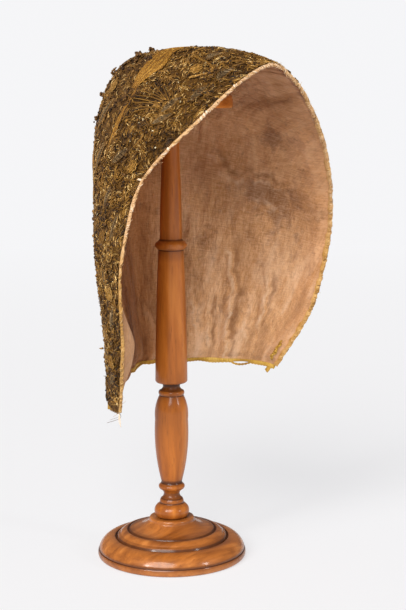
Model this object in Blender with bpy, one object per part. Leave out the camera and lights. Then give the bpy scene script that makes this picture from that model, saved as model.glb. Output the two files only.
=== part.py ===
# Embroidered coif on a turned wooden stand.
# Sizes are in millimetres and are scaled to metres as each mesh is made.
# The origin is the centre of the stand's flat foot, +Z is up and the face opening looks along -Y.
import math

import bmesh
import bpy
import numpy as np

for old in list(bpy.data.objects):
    bpy.data.objects.remove(old, do_unlink=True)

MM = 0.001

# Driving sizes of the stand
FOOT_RADIUS = 55.0
COLLAR_RADIUS = 16.6
COLLAR_TOP = 29.0
SOCKET_RADIUS = 6.3
SOCKET_FLOOR = 12.0
PEG_RADIUS = 6.0
PEG_CLEARANCE = 0.4
COLUMN_RADIUS = 11.85
RING_BOW = 2.4           # how far the ring stands out of the column
RING_HEIGHT = 232.0
HEAD_RADIUS = 44.5
HEAD_UNDERSIDE = 330.0
HEAD_TOP = 365.6
HEAD_SOCKET_RADIUS = 5.2
HEAD_SOCKET_DEPTH = 11.0

# Driving sizes of the coif
CLOTH = 2.0              # embroidered linen with its metal thread
LAYER_GAP = 0.5          # between the embroidered cloth and the lining
LINING = 1.0
MIDDLE = (CLOTH + LAYER_GAP + LINING) / 2
SEAM_GAP = 0.6           # between the band and the back piece, under the braid
BRAID = 1.1
BRAID_TOP_WIDTH = 10.0
BRAID_SIDE_WIDTH = 5.5
PIECE_GAP = 0.4
BINDING_REACH = 1.4      # half sizes of the front binding's section, out from the edge and across it
BINDING_HALF = 2.4
RIBBON_REACH = 1.1       # the same for the ribbon round the bottom edge
RIBBON_HALF = 2.2
RIBBON_END = 3.0         # it stops this far short of each corner
LACE_RADIUS = 0.9
LACE_END = 0.01          # share of the bottom edge that the lace leaves at each end
ROLL = 6.5               # the near side hangs this much low and the far side high, at ROLL_HALF out
ROLL_HALF = 75.0
ROLL_TOP = 330.0         # the lean fades out up to here, over ROLL_LENGTH
ROLL_LENGTH = 200.0

# Each row is a half section of the coif, from the back through the side to the rim of the face opening.
# The angle says where it meets the rim: 0 at the lower corner, 90 over the forehead.
COIF_COLUMNS = ("angle", "rim_fwd", "rim_half", "rim_up",
                "side_fwd", "side_half", "back_round", "back_fwd", "back_up")
COIF_ROWS = [
    (0, 30, 76, 131, -2, 81, 14, -38, 141),
    (15, 51.5, 91, 178, 10, 91, 26, -46, 196),
    (30, 62, 98.5, 240, 8, 93, 40, -52, 266),
    (45, 76, 79, 295, 0, 78, 46, -54, 324),
    (60, 91, 45, 333, 28, 55, 42, -32, 364),
    (75, 98, 19, 353, 62, 31, 22, 40, 371),
    (90, 99, 0, 359.5, 99, 0, 0, 99, 359.5),
]
MIRRORED = ("rim_half", "side_half", "back_round")   # these change sign over the forehead
SIDE_LEVEL = 0.45        # height of a section's side between its rim and its back

# Dents and folds: where they lie from side to side (-1 near rim, 0 back, 1 far rim) and on which row,
# how far they reach each way, and how deep they go towards the middle
FOLD_COLUMNS = ("place", "angle", "wide", "tall", "depth")
FOLDS = [
    (-0.55, 7, 0.17, 9, 13.0),
    (-0.22, 2, 0.05, 9, 2.6),
    (0.10, 0, 0.05, 11, 2.4),
    (0.36, 1, 0.05, 12, 2.8),
    (0.62, 2, 0.05, 13, 2.6),
    (0.50, 27, 0.16, 9, 1.8),
    (-0.30, 34, 0.14, 7, 2.2),
    (0.22, 52, 0.12, 6, 1.6),
]
FOLD_CENTRE_FWD = 8.0

# Where the lace hangs free between the loops that hold it: place along the bottom edge, 0 at the far corner
# and 1 at the near one, with how far it reaches each way and how far it drops
SAG_COLUMNS = ("place", "reach", "drop")
LACE_SAGS = [
    (0.08, 0.05, 1.6),
    (0.20, 0.04, 1.0),
    (0.31, 0.045, 3.2),
    (0.47, 0.06, 1.2),
    (0.62, 0.04, 0.8),
    (0.77, 0.045, 3.6),
    (0.91, 0.04, 1.8),
]

# The seam between the band and the back piece, as a share of the way out to the rim
SEAM_LOW = 0.66
SEAM_RISE = 0.28
SEAM_POWER = 1.4

# Mesh counts
AROUND = 52              # steps round the rim, a multiple of 4
ACROSS_BAND = 3
STAND_SIDES = 36
STEM_SIDES = 20
LACE_STEPS = 58
TUBE_SIDES = 8
LACE_SIDES = 5


def material(name, colour, roughness, metallic=0.0):
    made = bpy.data.materials.new(name)
    made.use_nodes = True
    shader = made.node_tree.nodes["Principled BSDF"]
    shader.inputs["Base Color"].default_value = (*colour, 1.0)
    shader.inputs["Roughness"].default_value = roughness
    shader.inputs["Metallic"].default_value = metallic
    made.diffuse_color = (*colour, 1.0)
    return made


def add_object(name, mesh, look, parent):
    thing = bpy.data.objects.new(name, mesh)
    mesh.materials.append(look)
    mesh.shade_smooth()
    mesh.set_sharp_from_angle(angle=math.radians(38))
    thing.parent = parent
    bpy.context.collection.objects.link(thing)
    return thing


def add_empty(name):
    empty = bpy.data.objects.new(name, None)
    empty.empty_display_size = 0.05
    bpy.context.collection.objects.link(empty)
    return empty


# Turned pieces: each row goes on to (radius, height), bowed out (+) or in (-) by bow, in that many steps
def turned_outline(start, rows):
    outline = [start]
    for radius, height, bow, steps in rows:
        r0, z0 = outline[-1]
        run = math.hypot(radius - r0, height - z0)
        out_r, out_z = (height - z0) / run, -(radius - r0) / run
        for k in range(1, steps + 1):
            t = k / steps
            swell = 4 * bow * t * (1 - t)
            outline.append((r0 + (radius - r0) * t + out_r * swell, z0 + (height - z0) * t + out_z * swell))
    return outline


def turned_mesh(name, outline, sides):
    bm = bmesh.new()
    verts = [bm.verts.new((r * MM, 0, z * MM)) for r, z in outline]
    edges = [bm.edges.new(pair) for pair in zip(verts, verts[1:])]
    bmesh.ops.spin(bm, geom=verts + edges, cent=(0, 0, 0), axis=(0, 0, 1),
                   angle=2 * math.pi, steps=sides, use_merge=True)
    bmesh.ops.remove_doubles(bm, verts=bm.verts, dist=0.00002)
    bmesh.ops.recalc_face_normals(bm, faces=bm.faces)
    mesh = bpy.data.meshes.new(name)
    bm.to_mesh(mesh)
    bm.free()
    return mesh


def base_outline():
    return turned_outline((0, 0), [
        (FOOT_RADIUS - 2.0, 0, 0, 1),
        (FOOT_RADIUS, 2.4, 0.6, 2),
        (FOOT_RADIUS - 0.2, 6.0, 0.2, 1),
        (42.4, 14.8, 2.7, 5),
        (41.3, 13.4, 0, 1),
        (40.3, 15.4, 0, 1),
        (33.4, 19.9, 1.2, 3),
        (32.3, 18.8, 0, 1),
        (31.3, 20.4, 0, 1),
        (COLLAR_RADIUS, 26.6, -1.5, 4),
        (COLLAR_RADIUS - 0.4, COLLAR_TOP, 0.3, 1),
        (SOCKET_RADIUS, COLLAR_TOP, 0, 1),
        (SOCKET_RADIUS, SOCKET_FLOOR, 0, 1),
        (0, SOCKET_FLOOR, 0, 1),
    ])


def stem_outline():
    foot = COLLAR_TOP + PEG_CLEARANCE
    shoulder = HEAD_UNDERSIDE - PEG_CLEARANCE
    peg_top = HEAD_UNDERSIDE + HEAD_SOCKET_DEPTH - 2 * PEG_CLEARANCE
    return turned_outline((0, SOCKET_FLOOR + PEG_CLEARANCE), [
        (PEG_RADIUS, SOCKET_FLOOR + PEG_CLEARANCE, 0, 1),
        (PEG_RADIUS, foot, 0, 1),
        (11.4, foot, 0, 1),
        (9.2, 39.6, 2.6, 6),
        (8.3, 42.8, 0.2, 2),
        (5.9, 47.2, -0.7, 3),
        (9.0, 50.6, -0.5, 2),
        (8.2, 54.4, 1.1, 3),
        (7.6, 56.0, 0, 1),
        (12.2, 103.0, 1.9, 7),
        (9.1, 120.8, 1.3, 4),
        (9.0, 124.6, 0.7, 3),
        (6.2, 127.6, -0.5, 2),
        (6.6, 130.4, 0, 1),
        (COLUMN_RADIUS - 1.4, 130.6, 0, 1),
        (COLUMN_RADIUS, 133.0, 0.5, 2),
        (9.3, RING_HEIGHT - 3.6, 0.4, 4),
        (9.2, RING_HEIGHT + 2.9, RING_BOW, 5),
        (8.2, RING_HEIGHT + 4.2, 0, 1),
        (6.5, 292.0, 0.35, 3),
        (5.8, shoulder, 0, 1),
        (HEAD_SOCKET_RADIUS - PEG_CLEARANCE, shoulder, 0, 1),
        (HEAD_SOCKET_RADIUS - PEG_CLEARANCE, peg_top, 0, 1),
        (0, peg_top, 0, 1),
    ])


def head_outline():
    socket_top = HEAD_UNDERSIDE + HEAD_SOCKET_DEPTH
    return turned_outline((0, socket_top), [
        (HEAD_SOCKET_RADIUS, socket_top, 0, 1),
        (HEAD_SOCKET_RADIUS, HEAD_UNDERSIDE, 0, 1),
        (HEAD_RADIUS - 1.2, HEAD_UNDERSIDE, 0, 1),
        (HEAD_RADIUS, HEAD_UNDERSIDE + 1.4, 0.3, 1),
        (HEAD_RADIUS - 0.4, HEAD_UNDERSIDE + 6.6, 0.2, 1),
        (HEAD_RADIUS - 3.4, HEAD_UNDERSIDE + 10.6, 0.7, 2),
        (0, HEAD_TOP, 5.6, 6),
    ])


# The coif's surface
def section_value(name, angle):
    """A column's value at any angle, by a smooth curve through the rows."""
    values = [row[COIF_COLUMNS.index(name)] for row in COIF_ROWS]
    sign = -1 if name in MIRRORED else 1
    values = [2 * values[0] - values[1], *values, sign * values[-2], sign * values[-3]]
    place = angle / (COIF_ROWS[1][0] - COIF_ROWS[0][0])
    row = min(int(place), len(COIF_ROWS) - 2)
    f = place - row
    v0, v1, v2, v3 = values[row:row + 4]
    return 0.5 * (2 * v1 + (v2 - v0) * f + (2 * v0 - 5 * v1 + 4 * v2 - v3) * f**2
                  + (3 * v1 - v0 - 3 * v2 + v3) * f**3)


def coif_point(place, angle):
    """A point of the embroidered face. Place is -1 at the near rim, 0 over the back and 1 at the far rim."""
    rim_fwd, rim_half, rim_up, side_fwd, side_half, back_round, back_fwd, back_up = (
        section_value(name, angle) for name in COIF_COLUMNS[1:])
    q = abs(place)
    back, turn, side, rim = (1 - q)**3, 3 * q * (1 - q)**2, 3 * q**2 * (1 - q), q**3
    side_up = SIDE_LEVEL * back_up + (1 - SIDE_LEVEL) * rim_up
    x = math.copysign(back_round * turn + side_half * side + rim_half * rim, place)
    fwd = back_fwd * (back + turn) + side_fwd * side + rim_fwd * rim
    up = back_up * (back + turn) + side_up * side + rim_up * rim
    up += ROLL * x / ROLL_HALF * min(max((ROLL_TOP - up) / ROLL_LENGTH, 0), 1)
    inward = np.array([-x, fwd - FOLD_CENTRE_FWD])
    inward = inward / max(np.linalg.norm(inward), 1.0)
    for where, row, wide, tall, depth in FOLDS:
        push = depth * math.exp(-((place - where) / wide)**2 - ((angle - row) / tall)**2)
        x += inward[0] * push
        fwd -= inward[1] * push
    return np.array([x, -fwd, up])


def disc_point(a, b):
    """The coif laid out on a half disc: its round edge is the rim, its straight edge the bottom edge."""
    b = min(max(b, 0.0), 1.0)
    half_chord = math.sqrt(max(1 - b * b, 1e-9))
    return coif_point(min(max(a / half_chord, -1), 1), math.degrees(math.asin(b)))


def seam_share(turn):
    return SEAM_LOW + SEAM_RISE * max(math.sin(turn), 0)**SEAM_POWER


def band_grid():
    """Points of the band, from the seam out to the rim along each ray of the half disc."""
    grid = []
    for i in range(AROUND + 1):
        turn = math.pi * i / AROUND
        shares = np.linspace(seam_share(turn), 1, ACROSS_BAND + 1)
        grid.append([disc_point(share * math.cos(turn), share * math.sin(turn)) for share in shares])
    return np.array(grid)


def back_grid():
    """Points of the back piece: a rectangle of columns and rows bent into the half disc inside the seam."""
    quarter = AROUND // 4
    turns = [math.pi / 4 * (1 + k / quarter) for k in range(2 * quarter + 1)]
    widths = [math.sqrt(2) * math.cos(turn) for turn in turns]
    heights = [math.sqrt(2) * math.sin(math.pi / 4 * k / quarter) for k in range(quarter + 1)]
    grid = []
    for w in widths:
        column = []
        for h in heights:
            a, b = w * math.sqrt(1 - h * h / 2), h * math.sqrt(1 - w * w / 2)
            share = seam_share(math.atan2(b, a))
            column.append(disc_point(a * share, b * share))
        grid.append(column)
    return np.array(grid)


# Cloth pieces as meshes: sheets of points with their normals, given a thickness
def sheet_faces(columns, rows, first=0):
    corners = [first + i * rows + j for i in range(columns - 1) for j in range(rows - 1)]
    return [(corner, corner + rows, corner + rows + 1, corner + 1) for corner in corners]


def point_normals(points, faces):
    total = np.zeros_like(points)
    for face in faces:
        corners = points[list(face)]
        across = np.cross(corners[1] - corners[0], corners[2] - corners[0])
        if len(face) == 4:
            across = across + np.cross(corners[2] - corners[0], corners[3] - corners[0])
        for index in face:
            total[index] += across
    return total / np.linalg.norm(total, axis=1, keepdims=True)


def join_sheets(band, back):
    """The coif's points, those that the band and the back piece share kept once, and both sets of faces."""
    points = np.concatenate([band.reshape(-1, 3), back.reshape(-1, 3)])
    kept, index_of = [], []
    for point in points:
        near = [k for k, other in enumerate(kept) if np.abs(other - point).max() < 0.001]
        if not near:
            kept.append(point)
        index_of.append(near[0] if near else len(kept) - 1)
    back_first = band.shape[0] * band.shape[1]
    grids = (sheet_faces(*band.shape[:2]), sheet_faces(*back.shape[:2], first=back_first))
    band_faces, back_faces = ([tuple(index_of[k] for k in face) for face in grid] for grid in grids)
    return np.array(kept), band_faces, back_faces, index_of


def shell_mesh(name, points, normals, faces, outer, inner):
    """A closed wall between two offsets from the sheet, measured out along its normals."""
    used = sorted({index for face in faces for index in face})
    place_of = {index: k for k, index in enumerate(used)}
    count = len(used)
    verts = [points[k] + normals[k] * outer for k in used] + [points[k] + normals[k] * inner for k in used]
    walls = [[place_of[k] for k in face] for face in faces]
    sides = {}
    for wall in walls:
        for pair in zip(wall, wall[1:] + wall[:1]):
            sides[tuple(sorted(pair))] = None if tuple(sorted(pair)) in sides else pair
    closed = walls + [[k + count for k in (wall[0], *reversed(wall[1:]))] for wall in walls]
    closed += [[b, a, a + count, b + count] for a, b in (pair for pair in sides.values() if pair)]
    mesh = bpy.data.meshes.new(name)
    mesh.from_pydata([tuple(vert * MM) for vert in verts], [], closed)
    mesh.validate()
    return mesh


def unit(vector):
    return vector / np.linalg.norm(vector)


def tube_mesh(name, centres, outs, crosses, reach, half, sides):
    """A closed bar of oval section, reach along each out direction and half along each cross direction."""
    verts, faces = [], []
    for centre, out, cross in zip(centres, outs, crosses):
        for k in range(sides):
            turn = 2 * math.pi * (k + 0.5) / sides
            verts.append(tuple((centre + out * reach * math.cos(turn) + cross * half * math.sin(turn)) * MM))
    for ring in range(len(centres) - 1):
        for k in range(sides):
            a, b = ring * sides + k, ring * sides + (k + 1) % sides
            faces.append((a, b, b + sides, a + sides))
    last = (len(centres) - 1) * sides
    faces += [tuple(reversed(range(sides))), tuple(range(last, last + sides))]
    bm = bmesh.new()
    mesh = bpy.data.meshes.new(name)
    mesh.from_pydata(verts, [], faces)
    bm.from_mesh(mesh)
    bmesh.ops.recalc_face_normals(bm, faces=bm.faces)
    bm.to_mesh(mesh)
    bm.free()
    return mesh


def edge_frame(edge, inside, normals):
    """For points along an edge: the direction out of the cloth and the one across its thickness."""
    outs, crosses = [], []
    for k, point in enumerate(edge):
        along = unit(edge[min(k + 1, len(edge) - 1)] - edge[max(k - 1, 0)])
        cross = unit(normals[k] - along * normals[k].dot(along))
        out = np.cross(along, cross)
        outs.append(out if out.dot(point - inside[k]) > 0 else -out)
        crosses.append(cross)
    return np.array(outs), np.array(crosses)


def make_stand(parent):
    wood = material("varnished_beech", (0.42, 0.16, 0.045), 0.28)
    stem_wood = material("varnished_beech_stem", (0.46, 0.18, 0.05), 0.30)
    head_wood = material("plain_beech_head", (0.40, 0.17, 0.06), 0.45)
    add_object("stand_base", turned_mesh("stand_base", base_outline(), STAND_SIDES), wood, parent)
    add_object("stand_stem", turned_mesh("stand_stem", stem_outline(), STEM_SIDES), stem_wood, parent)
    add_object("stand_head", turned_mesh("stand_head", head_outline(), STAND_SIDES), head_wood, parent)


def seam_neighbours(band, back, index_of):
    """For each point of the seam: its index, the next one out on the band, the next one in on the back."""
    across = band.shape[1]
    columns, rows = back.shape[:2]
    first = band.shape[0] * across
    edge = [(0, j) for j in range(rows)]
    edge += [(i, rows - 1) for i in range(1, columns)]
    edge += [(columns - 1, j) for j in reversed(range(rows - 1))]
    found = []
    for ray, (i, j) in enumerate(edge):
        within = first + min(max(i, 1), columns - 2) * rows + min(j, rows - 2)
        found.append((index_of[ray * across], index_of[ray * across + 1], index_of[within]))
    return found


def make_cloth(parent, points, normals, band_faces, back_faces, seam):
    gold_cloth = material("gold_embroidery", (0.16, 0.11, 0.04), 0.62, 0.35)
    back_cloth = material("gold_embroidery_back", (0.15, 0.11, 0.04), 0.62, 0.35)
    silk = material("lining_silk", (0.50, 0.31, 0.21), 0.80)
    face_of_lining = -CLOTH - LAYER_GAP
    lining = shell_mesh("lining", points, normals, band_faces + back_faces,
                        face_of_lining, face_of_lining - LINING)
    add_object("lining", lining, silk, parent)
    band_points, back_points = points.copy(), points.copy()
    for at, beyond, within in seam:
        band_points[at] += unit(points[beyond] - points[at]) * SEAM_GAP / 2
        back_points[at] += unit(points[within] - points[at]) * SEAM_GAP / 2
    band = shell_mesh("front_band", band_points, normals, band_faces, 0, -CLOTH)
    back = shell_mesh("back_crown", back_points, normals, back_faces, 0, -CLOTH)
    add_object("front_band", band, gold_cloth, parent)
    add_object("back_crown", back, back_cloth, parent)


def make_braid(parent, points, normals, seam):
    braid_gold = material("yellow_gold_braid", (0.52, 0.33, 0.08), 0.55, 0.3)
    verts, lifts = [], []
    for ray, (at, beyond, within) in enumerate(seam):
        turn = math.pi * ray / (len(seam) - 1)
        half = (BRAID_SIDE_WIDTH + (BRAID_TOP_WIDTH - BRAID_SIDE_WIDTH) * math.sin(turn)**4) / 2
        verts += [points[at] + unit(points[within] - points[at]) * half, points[at],
                  points[at] + unit(points[beyond] - points[at]) * half]
        lifts += [normals[at]] * 3
    braid = shell_mesh("seam_braid", np.array(verts), np.array(lifts), sheet_faces(len(seam), 3),
                       PIECE_GAP + BRAID, PIECE_GAP)
    add_object("seam_braid", braid, braid_gold, parent)


def make_front_binding(parent, points, normals, band, index_of):
    cream = material("cream_gold_binding", (0.60, 0.38, 0.13), 0.6, 0.15)
    around, across = band.shape[:2]
    rim = [index_of[i * across + across - 1] for i in range(around)]
    rim_inside = [index_of[i * across + across - 2] for i in range(around)]
    outs, crosses = edge_frame(points[rim], points[rim_inside], normals[rim])
    centres = points[rim] + outs * (PIECE_GAP + BINDING_REACH) - crosses * MIDDLE
    overhang = PIECE_GAP + 2 * RIBBON_REACH
    first = centres[0] + unit(centres[0] - centres[1]) * overhang
    last = centres[-1] + unit(centres[-1] - centres[-2]) * overhang
    centres = np.concatenate([[first], centres, [last]])
    outs = np.concatenate([outs[:1], outs, outs[-1:]])
    crosses = np.concatenate([crosses[:1], crosses, crosses[-1:]])
    binding = tube_mesh("front_binding", centres, outs, crosses, BINDING_REACH, BINDING_HALF, TUBE_SIDES)
    add_object("front_binding", binding, cream, parent)


def bottom_edge(band, back, index_of):
    """Indices along the bottom edge, from the far corner to the near one, and those just above them."""
    around, across = band.shape[:2]
    columns, rows = back.shape[:2]
    first = around * across
    far = [(k, across + k) for k in reversed(range(across))]
    under_back = [(first + i * rows, first + i * rows + 1) for i in range(1, columns - 1)]
    near = [((around - 1) * across + k, (around - 2) * across + k) for k in range(across)]
    pairs = far + under_back + near
    return [index_of[edge] for edge, above in pairs], [index_of[above] for edge, above in pairs]


def make_nape_binding(parent, points, normals, edge, above):
    mustard = material("mustard_silk_ribbon", (0.48, 0.29, 0.05), 0.6)
    outs, crosses = edge_frame(points[edge], points[above], normals[edge])
    centres = points[edge] + outs * (PIECE_GAP + RIBBON_REACH) - crosses * MIDDLE
    centres[0] += unit(centres[1] - centres[0]) * RIBBON_END
    centres[-1] += unit(centres[-2] - centres[-1]) * RIBBON_END
    ribbon = tube_mesh("nape_binding", centres, outs, crosses, RIBBON_REACH, RIBBON_HALF, TUBE_SIDES)
    add_object("nape_binding", ribbon, mustard, parent)
    return centres, outs


def make_nape_lace(parent, centres, outs):
    """The lace follows the ribbon's centre line, below it, and sags between its loops."""
    lace_silk = material("mustard_silk_lace", (0.52, 0.32, 0.06), 0.6)
    lengths = np.concatenate([[0], np.cumsum(np.linalg.norm(np.diff(centres, axis=0), axis=1))])
    lace = []
    for share in np.linspace(LACE_END, 1 - LACE_END, LACE_STEPS + 1):
        where = lengths[-1] * share
        point = np.array([np.interp(where, lengths, centres[:, axis]) for axis in range(3)])
        out = unit(np.array([np.interp(where, lengths, outs[:, axis]) for axis in range(3)]))
        sag = sum(drop * max(1 - ((share - place) / reach)**2, 0) for place, reach, drop in LACE_SAGS)
        lace.append(point + out * (RIBBON_REACH + PIECE_GAP + LACE_RADIUS + sag))
    alongs = [unit(lace[min(k + 1, len(lace) - 1)] - lace[max(k - 1, 0)]) for k in range(len(lace))]
    ups = [unit(np.cross(along, np.cross((0, 0, 1), along))) for along in alongs]
    asides = [np.cross(along, up) for along, up in zip(alongs, ups)]
    cord = tube_mesh("nape_lace", lace, ups, asides, LACE_RADIUS, LACE_RADIUS, LACE_SIDES)
    add_object("nape_lace", cord, lace_silk, parent)


def make_coif(parent):
    band, back = band_grid(), back_grid()
    points, band_faces, back_faces, index_of = join_sheets(band, back)
    normals = point_normals(points, band_faces + back_faces)
    seam = seam_neighbours(band, back, index_of)
    make_cloth(parent, points, normals, band_faces, back_faces, seam)
    make_braid(parent, points, normals, seam)
    make_front_binding(parent, points, normals, band, index_of)
    centres, outs = make_nape_binding(parent, points, normals, *bottom_edge(band, back, index_of))
    make_nape_lace(parent, centres, outs)


make_stand(add_empty("stand"))
make_coif(add_empty("coif"))
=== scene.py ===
import math
import bpy
import numpy as np
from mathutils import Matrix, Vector


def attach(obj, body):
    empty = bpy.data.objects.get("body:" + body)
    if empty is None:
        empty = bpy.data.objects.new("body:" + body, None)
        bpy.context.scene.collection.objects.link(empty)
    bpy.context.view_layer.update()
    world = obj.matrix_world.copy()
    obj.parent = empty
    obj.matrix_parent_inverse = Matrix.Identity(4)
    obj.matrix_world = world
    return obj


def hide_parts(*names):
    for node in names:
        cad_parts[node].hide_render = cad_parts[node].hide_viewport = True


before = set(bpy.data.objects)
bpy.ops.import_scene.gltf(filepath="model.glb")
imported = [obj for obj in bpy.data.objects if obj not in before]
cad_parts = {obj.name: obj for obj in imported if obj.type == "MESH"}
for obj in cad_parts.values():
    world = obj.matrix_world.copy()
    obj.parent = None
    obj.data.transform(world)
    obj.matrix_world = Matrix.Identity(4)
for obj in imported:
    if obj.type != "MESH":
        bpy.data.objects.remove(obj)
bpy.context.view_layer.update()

mm = 0.001
print("frame loaded:", len(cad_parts), "CAD nodes")

shot = {"turn": 42.0, "pitch": 8.41, "distance": 1.009, "aside": 0.0232, "height": 0.337, "lens": 82.62,
        "nearest": 0.05}                        # degrees, metres, and the lens in mm


def fromCamera(right, ahead, up):               # a place told from the camera's own right and ahead
    turn = math.radians(shot["turn"])
    return Vector((right * math.cos(turn) + ahead * math.sin(turn),
                   -right * math.sin(turn) + ahead * math.cos(turn), up))


def makeCamera():
    camera = bpy.data.objects.new("camera", bpy.data.cameras.new("camera"))
    camera.location = fromCamera(shot["aside"], -shot["distance"], shot["height"])
    camera.rotation_euler = (math.pi / 2 - math.radians(shot["pitch"]), 0, -math.radians(shot["turn"]))
    camera.data.lens = shot["lens"]
    camera.data.clip_start = shot["nearest"]
    bpy.context.collection.objects.link(camera)
    bpy.context.scene.camera = camera


makeCamera()


class Wire:                                     # one output socket, so that shader maths reads as maths
    def __init__(self, finish, socket):
        self.finish, self.socket = finish, socket

    def maths(self, operation, *values, clamp=False):
        return self.finish.node("ShaderNodeMath", {"operation": operation, "use_clamp": clamp},
                                dict(enumerate(values)))

    def __add__(self, other):
        return self.maths("ADD", self, other)

    def __sub__(self, other):
        return self.maths("SUBTRACT", self, other)

    def __rsub__(self, other):
        return self.maths("SUBTRACT", other, self)

    def __mul__(self, other):
        return self.maths("MULTIPLY", self, other)

    def __truediv__(self, other):
        return self.maths("DIVIDE", self, other)

    def __pow__(self, other):
        return self.maths("POWER", self, other)

    __radd__, __rmul__ = __add__, __mul__

    def clamped(self):
        return self.maths("ADD", self, 0.0, clamp=True)

    def sine(self):
        return self.maths("SINE", self)

    def between(self, low, high):               # 0 below low, 1 above high
        return ((self - low) / (high - low)).clamped()


class Finish:                                   # one material and the ways its nodes are added
    def __init__(self, name, fixed):
        self.material = bpy.data.materials.new(name)
        self.material.use_nodes = True
        self.tree = self.material.node_tree
        self.shader = self.tree.nodes["Principled BSDF"]
        for socket, value in fixed.items():
            self.shader.inputs[socket].default_value = value

    def node(self, kind, settings, inputs, output=0):
        made = self.tree.nodes.new(kind)
        for name, value in settings.items():
            if name == "stops":
                self.setStops(made.color_ramp, value)
            else:
                setattr(made, name, value)
        for name, value in inputs.items():
            if isinstance(value, Wire):
                self.tree.links.new(value.socket, made.inputs[name])
            else:
                made.inputs[name].default_value = value
        return Wire(self, made.outputs[output])

    def setStops(self, ramp, stops):
        while len(ramp.elements) < len(stops):
            ramp.elements.new(1.0)
        for element, (place, colour) in zip(ramp.elements, stops):
            element.position = place
            element.color = (*colour, 1.0)

    def ramp(self, value, stops):
        return self.node("ShaderNodeValToRGB", {"stops": stops}, {0: value})

    def attribute(self, name, output="Fac"):
        return self.node("ShaderNodeAttribute", {"attribute_name": name}, {}, output)

    def place(self, scale=(1, 1, 1), turn=(0, 0, 0), source=None):
        source = source or self.node("ShaderNodeTexCoord", {}, {}, "Object")
        return self.node("ShaderNodeMapping", {}, {"Vector": source, "Rotation": turn, "Scale": scale})

    def noise(self, place, scale, detail=3.0, rough=0.55, distort=0.0):
        return self.node("ShaderNodeTexNoise", {}, {"Vector": place, "Scale": scale, "Detail": detail,
                                                    "Roughness": rough, "Distortion": distort})

    def blend(self, share, first, second, kind="MIX"):
        first, second = ((*c, 1.0) if isinstance(c, tuple) else c for c in (first, second))
        return self.node("ShaderNodeMix", {"data_type": "RGBA", "blend_type": kind},
                         {0: share, 6: first, 7: second}, 2)

    def feed(self, socket, wire):
        self.tree.links.new(wire.socket, self.shader.inputs[socket])

    def bump(self, height, depth, strength=1.0):
        raised = self.node("ShaderNodeBump", {}, {"Height": height, "Distance": depth, "Strength": strength})
        self.feed("Normal", raised)


# The coif's surface, row by row as the CAD has it (mm): from the back through the side to the rim
coifRows = np.array([                           # angle, rim fwd half up, side fwd half, back round fwd up
    (0, 30, 76, 131, -2, 81, 14, -38, 141),
    (15, 51.5, 91, 178, 10, 91, 26, -46, 196),
    (30, 62, 98.5, 240, 8, 93, 40, -52, 266),
    (45, 76, 79, 295, 0, 78, 46, -54, 324),
    (60, 91, 45, 333, 28, 55, 42, -32, 364),
    (75, 98, 19, 353, 62, 31, 22, 40, 371),
    (90, 99, 0, 359.5, 99, 0, 0, 99, 359.5),
])
mirroredColumns = (2, 5, 6)
coifFolds = [                                   # place, angle, wide, tall, depth
    (-0.55, 7, 0.17, 9, 13.0),
    (-0.22, 2, 0.05, 9, 2.6),
    (0.10, 0, 0.05, 11, 2.4),
    (0.36, 1, 0.05, 12, 2.8),
    (0.62, 2, 0.05, 13, 2.6),
    (0.50, 27, 0.16, 9, 1.8),
    (-0.30, 34, 0.14, 7, 2.2),
    (0.22, 52, 0.12, 6, 1.6),
    (-0.50, 34, 0.30, 18, 2.8),                 # the dressed side lies flatter than the CAD's
]
coif = {"sideLevel": 0.45, "foldCentre": 8.0, "roll": 6.5, "rollHalf": 75.0, "rollTop": 330.0,
        "rollLength": 200.0, "seamLow": 0.66, "seamRise": 0.28, "seamPower": 1.4,
        "settleX": 1.4, "settleFwd": 1.3, "cut": 8.5, "cutAt": 41.5, "cutTall": 7.0, "cutWide": 0.25}
silkFace = 2.5                                  # the lining's face, this far inside the embroidered one
groundDeep, clothThick = 0.35, 0.6              # how deep the ground lies, and a sheet's thickness
discStep, discReach = 0.004, 0.985              # how finely the surface is felt, and how near to its rim
hemTurn, hemKeep = 0.01, 0.003                  # clear of the bottom edge: radians round, share up


def curveThrough(v0, v1, v2, v3, f):            # a smooth curve on from v1 to v2, f of the way
    return 0.5 * (2 * v1 + (v2 - v0) * f + (2 * v0 - 5 * v1 + 4 * v2 - v3) * f**2
                  + (3 * v1 - v0 - 3 * v2 + v3) * f**3)


def rowValue(column, angle):                    # one column of the table, at any angle
    v = coifRows[:, column]
    sign = -1 if column in mirroredColumns else 1
    v = np.concatenate([[2 * v[0] - v[1]], v, [sign * v[-2], sign * v[-3]]])
    place = angle / (coifRows[1, 0] - coifRows[0, 0])
    row = np.clip(place.astype(int), 0, len(coifRows) - 2)
    return curveThrough(*(v[row + k] for k in range(4)), place - row)


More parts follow.
